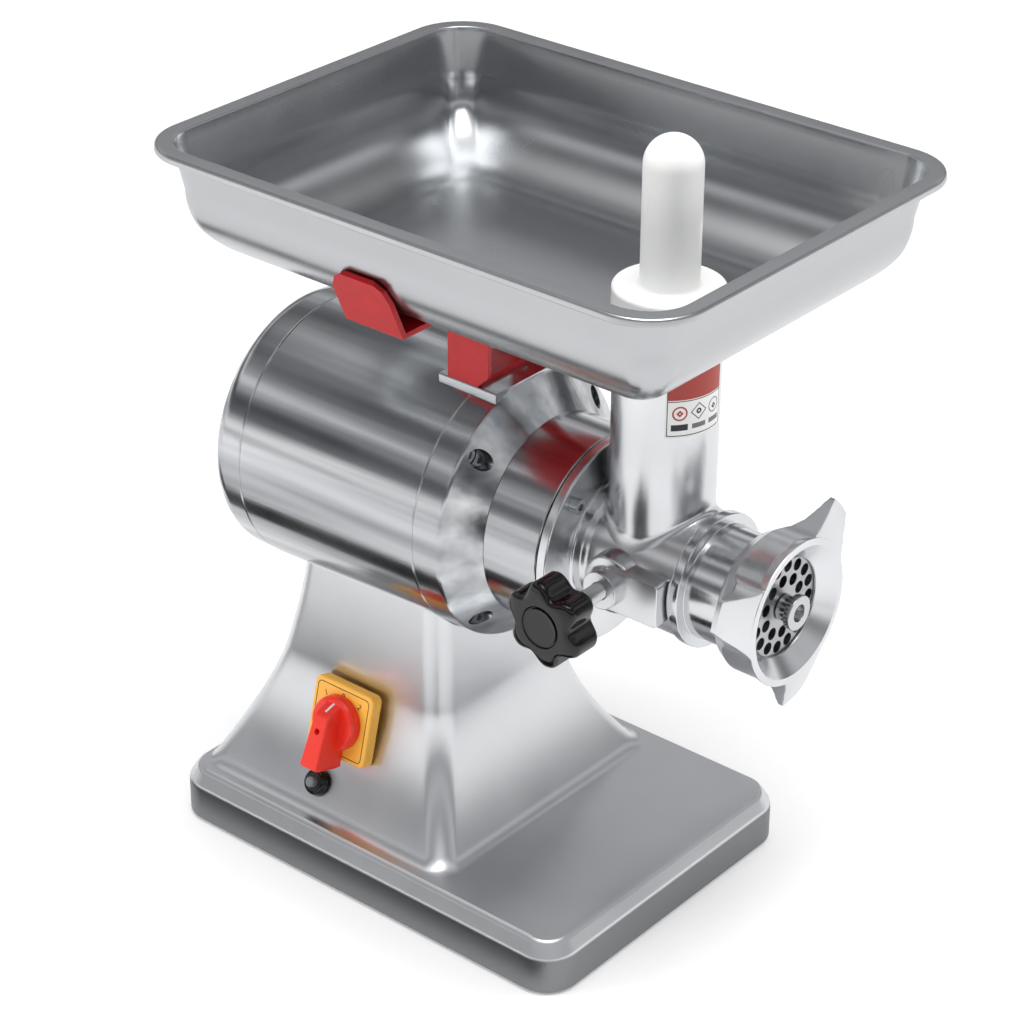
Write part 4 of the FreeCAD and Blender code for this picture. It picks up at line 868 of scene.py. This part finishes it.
# %% Barrel
barrel_rear, barrel_front = -span("barrel", 1)[1], -span("barrel", 1)[0]
nut_rear, nut_front = -span("ring_nut", 1)[1], -span("ring_nut", 1)[0]
plate_front = -span("hole_plate", 1)[0]
collar_s = mouth_s + 0.8
barrel_profile = [(26.2, barrel_rear), (31, barrel_rear), (31, collar_s), (38.5, collar_s, 0.8),
                  (38.5, collar_s + 5.8, 1.0), (32.5, collar_s + 5.8, 0.8),
                  (32.5, nut_rear - 0.5)]
pitch = 3.0
for k in range(4):
    here = nut_rear + pitch * k
    barrel_profile += [(33, here + 0.5), (33, here + 1.5), (32, here + 2.2), (32, here + 2.8)]
barrel_profile += [(33, nut_rear + 12.4), (33, barrel_front), (31, barrel_front),
                   (31, barrel_front - 3), (26.2, barrel_front - 3)]
make_piece("barrel_turned", [lathe(rounded(barrel_profile, 0.3, 3, True), OUTLET, 240)],
           "barrel", "polished_head", ("barrel",), finish=barrel_metal)

# %% Ring nut
WING_MIDDLES = np.array([41.0, 161.0, 281.0])
WING_ROOT, WING_TIP, TIP_HALF = 40.5, 64.0, 8.0
SHORT_SIDE, LONG_SIDE = 30.0, 46.0        # where a wing's two sides run out, degrees off its middle
DISH_R, LIP_R = 37.8, 28.2


def nut_radius(angle_deg, height):
    """Outer radius: the larger of the turned body and a wing's outline cut by its roof.

    The outline rises as a power of the share of the way from where the side runs out to the tip;
    the roof limits it by the distance back from the front face, which sweeps the wings back.
    """
    body = np.interp(height, [nut_rear, nut_rear + 10.6, nut_rear + 19.6, nut_front],
                     [37.4, 38.2, 39.8, 42.1])
    off = (angle_deg[..., None] - WING_MIDDLES + 180) % 360 - 180
    short = np.clip((SHORT_SIDE + off) / (SHORT_SIDE - TIP_HALF), 0, 1) ** 3.0
    long = np.clip((LONG_SIDE - off) / (LONG_SIDE - TIP_HALF), 0, 1) ** 2.6
    outline_r = WING_ROOT + (WING_TIP - WING_ROOT) * np.max(np.minimum(short, long), -1)
    roof = np.interp(nut_front - height, [0, 8.8, 11.6, 12.6, 14, 17, 24, 28],
                     [40.5, 65, 65, 54, 47.5, 43, 39, 37])
    return np.maximum(body, np.minimum(outline_r, roof))


def nut_skin():
    """Bore, lip, flared mouth, front rim, winged outside and rear face as one closed sheet."""
    angle = np.linspace(0, 360, 540, endpoint=False)[:, None]
    inside = rounded([(33.35, nut_rear), (33.35, barrel_front + 0.4), (31.35, barrel_front + 0.4),
                      (31.35, plate_front + 0.3), (LIP_R, plate_front + 0.3),
                      (LIP_R, plate_front + 1.6, 0.4), (DISH_R, nut_front, 0.6)], 0.3, 4)
    depth = np.concatenate([[0.0, 0.15, 0.5], np.linspace(1.0, 26.5, 52), [27.0, 27.4, 27.6]])
    ease = np.concatenate([[0.8, 0.35, 0.08], np.zeros(52), [0.1, 0.4, 0.8]])
    outer = nut_radius(angle, nut_front - depth[None, :]) - ease
    r = np.concatenate([np.broadcast_to(inside[:, 0], (len(angle), len(inside))), outer], 1)
    h = np.concatenate([inside[:, 1], nut_front - depth])
    a = np.radians(angle)
    return put(np.stack([r * np.cos(a), r * np.sin(a), h + 0 * a], -1), OUTLET), True, True


make_piece("wing_nut", [nut_skin()], "ring_nut", "polished_head",
           ("ring_nut",), 36)

# %% Stud cap in the plate
cap_front = -span("stud_cap", 1)[0]
make_piece("stud_end", [lathe(rounded(
    [(4.9, cap_front - 10.6), (7.4, cap_front - 10.6), (7.4, cap_front - 4), (9.9, cap_front - 4),
     (9.9, cap_front), (4.9, cap_front)], 0.5, 4, True), OUTLET, 72)],
    "auger", "stainless_bar", ("stud_cap",))

# %% [markdown]
# ## Lock knob and stud
# A moulded star knob: six round lobes, a domed face and a disc let into it. Its radius is a
# cosine of six times the angle, sharpened so that the hollows are rounder than the lobes.

# %% Star knob
knob_out, knob_in = -span("lock_knob", 0)[0], -span("lock_knob", 0)[1]
LOBES, KNOB_R, LOBE = 6, 25.1, 6.2
KNOB_TURN = 40.0          # degrees; where the knob happens to stand when tight


def knob_skin():
    """Radius at angle a: outer radius less a share of the lobe depth, scaled along the height."""
    a = np.linspace(0, 2 * np.pi, 360, endpoint=False)[:, None]
    hollow = (0.5 - 0.5 * np.cos(LOBES * (a - math.radians(KNOB_TURN)))) ** 1.3
    rows = rounded([(0, knob_out - 1.8), (11.6, knob_out - 1.8, 0.3), (12.2, knob_out - 0.9, 0.5),
                    (19, knob_out - 0.9, 5.0), (KNOB_R, knob_out - 3.4, 3.0),
                    (KNOB_R, knob_in + 2.0, 3.5), (20, knob_in, 2.0), (13, knob_in, 1.0),
                    (10.5, knob_in - 0.2), (5.1, knob_in - 0.2), (5.1, knob_out - 6),
                    (0, knob_out - 6)], 0.4, 6)
    share = np.clip((rows[:, 0] - 12.5) / (KNOB_R - 12.5), 0, 1) ** 1.5
    r = rows[:, 0] - LOBE * hollow * share
    skin = np.stack([r * np.cos(a), r * np.sin(a), rows[:, 1] + 0 * a], -1)
    return put(skin, KNOB_SEAT), True, False


make_piece("star_knob", [knob_skin()], "lock_knob", "black_plastic",
           ("lock_knob",))
make_piece("knob_disc", [lathe(rounded([(0, knob_out - 1.75), (10.9, knob_out - 1.75),
                                        (10.9, knob_out - 0.7, 0.5), (9.4, knob_out - 0.9, 0.8),
                                        (0, knob_out - 0.9)], 0.3, 4), KNOB_SEAT, 120)],
           "lock_knob", "black_plastic", ("knob_cap",))


# %% Threaded stud
def thread_skin(radius, depth, pitch_mm, low, high, where):
    """Screw thread: the radius is a rounded saw of (height - pitch * turn), thinner at its ends."""
    a = np.linspace(0, 2 * np.pi, 60, endpoint=False)[:, None]
    h = np.linspace(low, high, int((high - low) / pitch_mm * 9))
    phase = (h / pitch_mm - a / (2 * np.pi)) % 1.0
    r = radius - depth * np.abs(2 * phase - 1) ** 1.2
    fade = np.clip(np.minimum(h - low, high - h) / 1.2, 0, 1)
    r = r - 1.0 * (1 - fade)
    body = np.stack([r * np.cos(a), r * np.sin(a), h + 0 * a], -1)
    ends = body[:, [0, -1]] * [0, 0, 1]
    return put(np.concatenate([ends[:, :1], body, ends[:, 1:]], 1), where), True, False


stud_out, stud_in = -span("lock_stud", 0)[0], -span("lock_stud", 0)[1]
THREAD_R, THREAD_DEPTH, THREAD_PITCH = 4.95, 0.85, 1.5
make_piece("lock_screw", [thread_skin(THREAD_R, THREAD_DEPTH, THREAD_PITCH, stud_in + 0.2,
                                      stud_out - 0.5, KNOB_SEAT)],
           "lock_knob", "stainless_bar", ("lock_stud",), 60, stud_metal)

# %% [markdown]
# ## The pan
# Pressed from one sheet: a flat floor with a collar that drops into the feed tube, a large bend,
# leaning walls and a flat rim with a rolled edge. Every level is again a rounded rectangle, and
# the floor is drawn in from its edge to the round hole.

# %% Pan skin
PAN_EDGE, PAN_DRAFT, SHEET, RIM_W = 42.0, 0.21, 1.0, 9.8
pan_half = span("feed_pan", 0)[1]
pan_front, pan_rear = span("feed_pan", 1)
rim_z = span("feed_pan", 2)[1]
collar_low = span("feed_pan", 2)[0]
floor_z = collar_low + 16.0
bend_z = floor_z + PAN_EDGE
PAN_CORNER = 34.8
COLLAR_R, HOLE_FLAT = 24.6, 34            # the collar, and the level ring of floor round it


def pan_wall(offset):
    """(inset, height) from the floor's edge up to the rim, on the outer skin plus an offset."""
    foot = RIM_W + PAN_DRAFT * (rim_z - bend_z)
    a = np.linspace(np.pi / 2, 0, 22)
    r = PAN_EDGE - offset
    bend = np.column_stack([foot + PAN_EDGE - r * np.cos(a), bend_z - r * np.sin(a)])
    lean = np.linspace(0, 1, 8)[1:, None] * [RIM_W - foot, rim_z - 2.6 - bend_z] + [foot, bend_z]
    return np.concatenate([bend, lean + [offset, 0]])


def pan_loops(rows, shape):
    """Loops at each (inset, height); the corner radius shrinks as the inset grows."""
    inset, z = rows[:, :1], rows[:, 1:]
    corner = np.clip(PAN_CORNER - inset, 14, None) - 0.06 * np.clip(inset - RIM_W, 0, None)
    return loop_points(shape, pan_half - inset, pan_front + inset, pan_rear - inset, corner, z)


def towards_hole(loop, profile):
    """Rings from the floor's edge loop to the round collar, by angle about the hole."""
    centre = np.array([0, TUBE_Y, 0])
    away = loop - centre
    direction = away[:, :2] / np.linalg.norm(away[:, :2], axis=1)[:, None]
    rings = []
    for r, z in profile:
        rings.append(np.column_stack([direction * r + centre[:2], np.full(len(loop), z)]))
    share = np.linspace(0, 1, 8)[1:-1, None, None]
    between = loop * (1 - share) + rings[0] * share
    return np.concatenate([between, np.stack(rings)])


def pan_skin():
    """Inside from the collar to the rim, over the rolled edge, and back down the outside."""
    shape = loop_shape(18, 30)
    inner, outer = pan_wall(SHEET), pan_wall(0.0)
    rim = rounded([tuple(inner[-1]), (RIM_W + SHEET - 0.2, rim_z, 2.0), (0.3, rim_z, 2.2),
                   (0.0, rim_z - 4.4, 1.4), (2.6, rim_z - 4.4, 0.8), (2.4, rim_z - 1.6, 0.5),
                   (RIM_W + 0.1, rim_z - 1.1, 1.0), tuple(outer[-1])], 1.0, 7)
    ledge = np.array([(0.0, 0.0), (3.0, 0.0), (4.2, -0.5), (9.0, -0.5)])
    top_ledge = (inner[0] + ledge)[::-1]
    under_ledge = outer[0] + ledge
    rows = np.concatenate([top_ledge, inner, rim[1:-1], outer[::-1], under_ledge])
    loops = pan_loops(rows, shape)
    top_z, under_z = top_ledge[0, 1], under_ledge[-1, 1]
    top = towards_hole(loops[0], rounded([(HOLE_FLAT, top_z), (COLLAR_R - SHEET, top_z, 2.0),
                                          (COLLAR_R - SHEET, collar_low)], 1.0, 5))
    under = towards_hole(loops[-1], rounded([(HOLE_FLAT, under_z), (COLLAR_R, under_z, 1.0),
                                             (COLLAR_R, collar_low)], 1.0, 5))
    return np.concatenate([top[::-1], loops, under]), True, True


make_piece("feed_pan_pressing", [pan_skin()], "feed_pan", "stainless_sheet", ("feed_pan",), 40)

# %% [markdown]
# ## Pan bracket and stomper
# The bracket is folded from thick sheet, so its CAD shape only needs rounded edges. The stomper
# is turned from a white polyethylene bar.

# %% Bracket and stomper
dressed("pan_support", 0.7, "machine", "red_powder_coat")
stomper_low, stomper_high = span("stomper", 2)
DISC_TOP = stomper_high - 83.0
HANDLE_R, DISC_R = 15.9, 30.4
disc_low = DISC_TOP - 17.1
dome = np.linspace(0, np.pi / 2, 16)
stomper_profile = np.concatenate([
    rounded([(0, stomper_low), (22.8, stomper_low, 3.0), (22.8, disc_low, 0.3),
             (DISC_R, disc_low, 0.8), (DISC_R, DISC_TOP, 2.2), (HANDLE_R, DISC_TOP, 2.5),
             (HANDLE_R, stomper_high - HANDLE_R)], 0.5, 7),
    np.column_stack([HANDLE_R * np.cos(dome), stomper_high - HANDLE_R
                     + HANDLE_R * np.sin(dome)])[1:]])
stomper_profile[-1, 0] = 0
make_piece("stomper_turned", [lathe(stomper_profile, UPRIGHT, 144)], "stomper", "white_plastic",
           ("stomper",))

# %% [markdown]
# ## Switch, lever and reset
# The dial plate is a moulded square with a printed border and plain numbers for its positions.
# The lever is a round hub with a tapered grip across it, an eye for a padlock through the grip's
# outer face, and a white line that points to the number. The reset nut and button sit below.

# %% Dial plate
PLATE_HALF, PLATE_T = 22.5, 8.0
MARK_TALL, MARK_PROUD = 5.2, 0.06
MARK_UP, MARK_DROP, MARK_TURN = 15.8, 0.16, 2.2    # height in the middle; drop and degrees per mm


def slab_grid(half, corner, low, high, soft, where):
    """Rounded square slab: loops from the middle of its back to the middle of its face."""
    shape = loop_shape(8, 6)
    rows = rounded([(half, low, 0), (0, low, 0.3), (0, high, soft), (half, high, 0)], soft, 5)
    inset = np.minimum(rows[:, :1], half - 0.01)
    corner_now = np.clip(corner - inset, 0.005, None)
    loops = loop_points(shape, half - inset, -half + inset, half - inset, corner_now, rows[:, 1:])
    return put(loops, where), False, True


def frame_grid(half, corner, width, low, high, where):
    """Thin square frame: outer and inner loops joined top and bottom."""
    shape = loop_shape(8, 6)
    rows = np.array([(0, low), (0, high), (width, high), (width, low)], float)
    inset = rows[:, :1]
    loops = loop_points(shape, half - inset, -half + inset, half - inset, corner - inset,
                        rows[:, 1:])
    return put(loops, where), True, True


make_piece("dial_plate", [slab_grid(PLATE_HALF, 4.0, 0, PLATE_T, 1.6, SWITCH_SEAT)], "machine",
           "yellow_plastic", ("switch_plate",))
make_piece("dial_border", [frame_grid(20.0, 3.0, 0.5, PLATE_T - 0.1, PLATE_T + 0.06, SWITCH_SEAT)],
           "machine", "black_case", finish=ink_black)


def marking(name, text, x):
    """A plain number, printed flat: made a mesh first, then set down on its seat.

    The numbers stand on an arc: the further from the middle, the lower and the more turned.
    """
    curve = bpy.data.curves.new(name, "FONT")
    curve.body = text
    curve.size = MARK_TALL
    curve.align_x = "CENTER"
    curve.align_y = "CENTER"
    curve.extrude = MARK_PROUD
    holder = bpy.data.objects.new(name, curve)
    bpy.context.scene.collection.objects.link(holder)
    graph = bpy.context.evaluated_depsgraph_get()
    mesh = bpy.data.meshes.new_from_object(holder.evaluated_get(graph))
    bpy.data.objects.remove(holder)
    bpy.data.curves.remove(curve)
    mesh.name = name
    flat = np.empty(len(mesh.vertices) * 3)
    mesh.vertices.foreach_get("co", flat)
    flat = flat.reshape(-1, 3)
    turn = math.radians(-x * MARK_TURN)
    c, s = math.cos(turn), math.sin(turn)
    place = [x, MARK_UP - abs(x) * MARK_DROP, PLATE_T + 0.02]
    spun = flat @ np.array([[c, s, 0], [-s, c, 0], [0, 0, 1]]) + place
    mesh.vertices.foreach_set("co", (put(spun, SWITCH_SEAT) * MM).ravel())
    mesh.update()
    finish_piece(mesh, "machine", "black_case", finish=ink_black)


for name, text, x in (("mark_one", "1", -13.0), ("mark_zero", "0", 0.0), ("mark_two", "2", 13.0)):
    marking(name, text, x)

# %% Lever, reset nut and button
GRIP_TOP, GRIP_FOOT = -15.5, 25.6          # along the grip, from its hub's rim to its end
GRIP_LOW, GRIP_RAMP, GRIP_HIGH = 8.4, 25.5, 30.6
GRIP_FOOT_HALF, GRIP_TOP_HALF = 6.6, 5.8


def grip_skin():
    """Finger grip: rounded trapezoid sections whose height climbs a ramp, then runs level."""
    stations = rounded([(GRIP_TOP, 10.0), (-7.0, GRIP_RAMP, 2.5),
                        (GRIP_FOOT - 0.4, GRIP_HIGH, 1.6), (GRIP_FOOT, 15.0)], 0.5, 6)
    rows = []
    for u, height in stations:
        lean = (height - GRIP_LOW) / 22.0
        half_top = GRIP_TOP_HALF - 1.4 * lean + 0.05 * (u - GRIP_TOP)
        section = rounded([(-GRIP_FOOT_HALF, GRIP_LOW), (-half_top, height), (half_top, height),
                           (GRIP_FOOT_HALF, GRIP_LOW)], 1.0, 4, True)
        rows.append(np.column_stack([section[:, 0], np.full(len(section), -u), section[:, 1]]))
    return put(closed_ends(np.stack(rows)), SWITCH_SEAT), False, True


hub = lathe(rounded([(0, -8), (4, -8), (4, 8.4), (16.5, 8.4), (16.3, 13.5, 0.8),
                     (14.6, 15.4, 0.8), (0, 15.4)], 0.3, 4), SWITCH_SEAT, 120)
make_piece("lever_hub", [hub], "switch_lever", "red_plastic",
           ("switch_lever",))
grip = make_piece("lever_grip", [grip_skin()], "switch_lever", "red_plastic")
EYE_AT, EYE_R, EYE_FLOOR = -2.4, 1.9, 22
eye = put(np.array([0.0, EYE_AT, 0.0]), SWITCH_SEAT)
cut(grip, [rod(EYE_R, EYE_FLOOR, GRIP_HIGH + 3.4, seat(eye, SWITCH_OUT, (0, -1, 0)), 32)])
ramp_side, ramp_up = SWITCH_SEAT[0][1:]
RAMP_SLOPE = np.array([0.877, 0.481])
RAMP_MIDDLE = np.array([0.0, 11.4, 18.0])
ramp_seat = seat(put(RAMP_MIDDLE, SWITCH_SEAT),
                 RAMP_SLOPE[0] * ramp_side + RAMP_SLOPE[1] * ramp_up, (0, -1, 0))
make_piece("lever_mark", [block(((-0.6, 0.6), (-4.5, 4.5), (-0.4, 0.12)), ramp_seat)],
           "switch_lever", "white_plastic", finish=ink_white)
dressed("reset_nut", 0.5, "machine", "black_plastic")
dressed("reset_button", 0.5, "reset_button", "grey_plastic")

# %% [markdown]
# ## Label on the feed tube
# A printed film bent round the tube. The real one's words and signs are left out: it keeps its
# white ground, thin border and coloured band, with plain rings, diamonds and bars.

# %% Label
label_low, label_high = span("tube_label", 2)
LABEL_START, LABEL_END = math.radians(-144), math.radians(-70)


def on_tube(across, up, proud):
    """Point on the label: arc length across and height up from its corner, in millimetres."""
    angle = LABEL_START + across / TUBE_R
    r = TUBE_R + proud
    return np.stack(np.broadcast_arrays(r * np.cos(angle), r * np.sin(angle), label_low + up), -1)


def film(across, up, low, high):
    """A thin closed patch over a rectangle of the label."""
    a = np.linspace(across[0], across[1], 40)[:, None]
    columns = []
    for height, proud in ((up[0], low), (up[0], high), (up[1], high), (up[1], low)):
        columns.append(on_tube(a, height, proud))
    return put(closed_ends(np.concatenate(columns, 1)), UPRIGHT), False, True


def outline(centre, radius, diamond, width, low, high):
    """A thin ring printed on the label, or a diamond: its radius over |cos a| + |sin a|."""
    a = np.linspace(0, 2 * np.pi, 64, endpoint=False)[:, None]
    shape = 1 / (np.abs(np.cos(a)) + np.abs(np.sin(a))) if diamond else 1.0
    columns = []
    for r, proud in ((radius, low), (radius, high), (radius - width, high), (radius - width, low)):
        columns.append(on_tube(centre[0] + r * shape * np.cos(a), centre[1] + r * shape * np.sin(a),
                               proud))
    return put(np.concatenate(columns, 1), UPRIGHT), True, True


label_wide = (LABEL_END - LABEL_START) * TUBE_R
label_tall = label_high - label_low
FILM_T, PRINT_ROOT = 0.12, 0.1            # the film, and how deep every print starts in it
BAR_TOP, LINE_TOP, SIGN_TOP = 0.15, 0.16, 0.17
LINE, MARGIN, BAND_LOW, SIGN_MIDDLE = 0.5, 1, 21, 14.2
far_edge, top_edge = label_wide - MARGIN, label_tall - MARGIN
make_piece("label_film", [film((0, label_wide), (0, label_tall), 0.0, FILM_T)], "machine",
           "label_film", ("tube_label",))


def line_film(across, up):
    """A printed border line."""
    return film(across, up, PRINT_ROOT, LINE_TOP)


def bar_film(across, up):
    """A printed solid bar."""
    return film(across, up, PRINT_ROOT, BAR_TOP)


def sign(across, up, radius, diamond, width):
    """A printed ring or diamond."""
    return outline((across, up), radius, diamond, width, PRINT_ROOT, SIGN_TOP)


prints = {
    "label_lines": (ink_black, [
        line_film((MARGIN, far_edge), (MARGIN, MARGIN + LINE)),
        line_film((MARGIN, MARGIN + LINE), (MARGIN, top_edge)),
        line_film((far_edge - LINE, far_edge), (MARGIN, top_edge)),
        line_film((MARGIN, far_edge), (BAND_LOW, BAND_LOW + LINE)),
        sign(19, SIGN_MIDDLE, 5.0, True, 0.7), sign(19, SIGN_MIDDLE, 1.6, False, 1.0),
        sign(30, SIGN_MIDDLE, 4.2, False, 0.5), sign(30, 13.6, 1.8, True, 1.2)]),
    "label_sign": (ink_red, [sign(8, SIGN_MIDDLE, 4.2, False, 0.9),
                             sign(8, SIGN_MIDDLE, 2.0, True, 1.4)]),
    "label_band": (ink_red, [bar_film((1.5, label_wide - 1.5), (22, label_tall - 1.5))]),
    "label_bar": (ink_black, [bar_film((3.4, 12.6), (4.2, 7.8))]),
    "label_bars": (ink_grey, [bar_film((15, 23.6), (4.6, 7.4)), bar_film((26.2, 34.6), (4.6, 7.4))]),
}
for name, (ink, grids) in prints.items():
    make_piece(name, grids, "machine", "label_film", finish=ink)

# %% [markdown]
# ## Floor, light and camera
# A level pale floor, and soft boxes round the machine. Bright metal only looks like metal when it
# has something to mirror. So the room is pale to the eye but banded light and dark in
# reflections, and a dark card on the floor beside the machine shows only in its metal.

# %% Floor
FLOOR_R, FLOOR_DROP = 6000, 0.05          # mm; it lies a hair below the feet


def floor_sheet():
    """A level disc: rings of growing radius round the machine."""
    r = np.concatenate([[0.0], np.linspace(200, FLOOR_R, 60)])
    a = np.linspace(0, 2 * np.pi, 96, endpoint=False)[:, None]
    return np.stack([r * np.cos(a), r * np.sin(a), 0 * r + 0 * a - FLOOR_DROP], -1), True, False


floor_material, floor_tree, floor_shader, floor_coords = start("studio_floor", "#F2F2F2", 0.0, 0.6)
tone = noise(floor_tree, floor_coords, 300, 2.0)
floor_tree.links.new(mixed(floor_tree, tone, "#F0F0F0", "#F5F5F5"),
                     floor_shader.inputs["Base Color"])
seen = add(floor_tree, "LightPath").outputs["Is Camera Ray"]
GLOW_IN_METAL, GLOW_TO_EYE = 0.10, 0.26
glow = varied(floor_tree, seen, GLOW_IN_METAL, GLOW_TO_EYE)
floor_tree.links.new(glow, floor_shader.inputs["Emission Strength"])
floor_shader.inputs["Emission Color"].default_value = srgb("#FFFFFF")
floor_mesh = raw_mesh("floor", [floor_sheet()])
settle(floor_mesh, 30)
floor_mesh.materials.append(floor_material)
floor = bpy.data.objects.new("floor", floor_mesh)
bpy.context.scene.collection.objects.link(floor)

# %% World: pale to the eye, banded in reflections
world = bpy.data.worlds.new("studio")
world.use_nodes = True
bpy.context.scene.world = world
bpy.context.scene.view_settings.view_transform = "Standard"
sky = world.node_tree
direction = add(sky, "TexCoord").outputs["Generated"]
height_part = add(sky, "SeparateXYZ", Vector=direction).outputs["Z"]
ramp = sky.nodes.new("ShaderNodeValToRGB")
SKY_STRENGTH = 1.25
SKY_BANDS = [(0.0, "#ECECEC"), (0.555, "#F6F6F6"), (0.570, "#7C7C7F"), (0.62, "#6C6C6F"),
             (0.655, "#3E3E40"), (0.69, "#98989A"), (0.74, "#DCDCDE"), (0.79, "#98989A"),
             (0.84, "#525254"), (0.90, "#9C9C9E"), (0.955, "#FFFFFF"), (1.0, "#FFFFFF")]
bands = ramp.color_ramp.elements
bands[0].position, bands[0].color = SKY_BANDS[0][0], srgb(SKY_BANDS[0][1])
bands[1].position, bands[1].color = SKY_BANDS[-1][0], srgb(SKY_BANDS[-1][1])
for position, color in SKY_BANDS[1:-1]:
    bands.new(position).color = srgb(color)
scaled = add(sky, "MapRange", Value=height_part, From_Min=-1.0, From_Max=1.0).outputs["Result"]
sky.links.new(scaled, ramp.inputs["Fac"])
by_eye = add(sky, "LightPath").outputs["Is Camera Ray"]
background = sky.nodes["Background"]
background.inputs["Strength"].default_value = SKY_STRENGTH
sky.links.new(blended(sky, by_eye, ramp.outputs["Color"], "#FAFAFA"), background.inputs["Color"])


# %% Soft boxes and a dark card
def lamp(name, place, target, size, power, seen_in_metal=False):
    """A soft box: a rectangular area light that faces its target."""
    light = bpy.data.lights.new(name, "AREA")
    light.shape = "RECTANGLE"
    light.size, light.size_y = size
    light.energy = power
    holder = bpy.data.objects.new(name, light)
    bpy.context.scene.collection.objects.link(holder)
    holder.location = place
    holder.visible_glossy = seen_in_metal
    aim = Vector((np.array(target) - np.array(place)).tolist())
    holder.rotation_mode = "QUATERNION"
    holder.rotation_quaternion = aim.to_track_quat("-Z", "Y")


middle = (0.0, 0.0, 0.24)
lamp("box_top", (-0.2, -0.3, 2.2), middle, (1.2, 1.2), 22, True)
lamp("box_left", (-1.7, 1.4, 1.0), middle, (1.0, 1.5), 18)
lamp("box_front", (1.5, -1.7, 1.1), middle, (1.0, 1.5), 18)

CARD_X, CARD_Y, CARD_Z = (-0.225, -0.125), (-0.12, 0.60), 0.001
card_mesh = bpy.data.meshes.new("card_floor")
card_mesh.from_pydata([(CARD_X[0], CARD_Y[0], CARD_Z), (CARD_X[1], CARD_Y[0], CARD_Z),
                       (CARD_X[1], CARD_Y[1], CARD_Z), (CARD_X[0], CARD_Y[1], CARD_Z)],
                      [], [(0, 1, 2, 3)])
card_mesh.materials.append(start("black_card", "#0A0A0A", 0.0, 0.9)[0])
card = bpy.data.objects.new("card_floor", card_mesh)
bpy.context.scene.collection.objects.link(card)
card.visible_camera = False
card.visible_shadow = False
card.visible_diffuse = False

# %% Camera
LENS, SENSOR = 106.42, 36.0               # millimetres
CLIP = (0.05, 50.0)                       # metres
CAMERA_AT = np.array((-1.1507, -0.94445, 1.05615))
AZIMUTH, ELEVATION, ROLL = (math.radians(v) for v in (-50.1987, 29.0945, 0.3878))


def camera_turn():
    """Columns of the camera's rotation: right, up and back."""
    right = np.array((math.cos(AZIMUTH), math.sin(AZIMUTH), 0))
    back = np.array((math.sin(AZIMUTH) * math.cos(ELEVATION),
                     -math.cos(AZIMUTH) * math.cos(ELEVATION), math.sin(ELEVATION)))
    up = np.cross(back, right)
    c, s = math.cos(ROLL), math.sin(ROLL)
    return np.column_stack([c * right + s * up, c * up - s * right, back])


camera = bpy.data.objects.new("camera", bpy.data.cameras.new("camera"))
bpy.context.scene.collection.objects.link(camera)
turn = np.eye(4)
turn[:3, :3] = camera_turn()
turn[:3, 3] = CAMERA_AT
camera.matrix_world = Matrix(turn.tolist())
camera.data.lens = LENS
camera.data.sensor_width = SENSOR
camera.data.clip_start, camera.data.clip_end = CLIP
bpy.context.scene.camera = camera
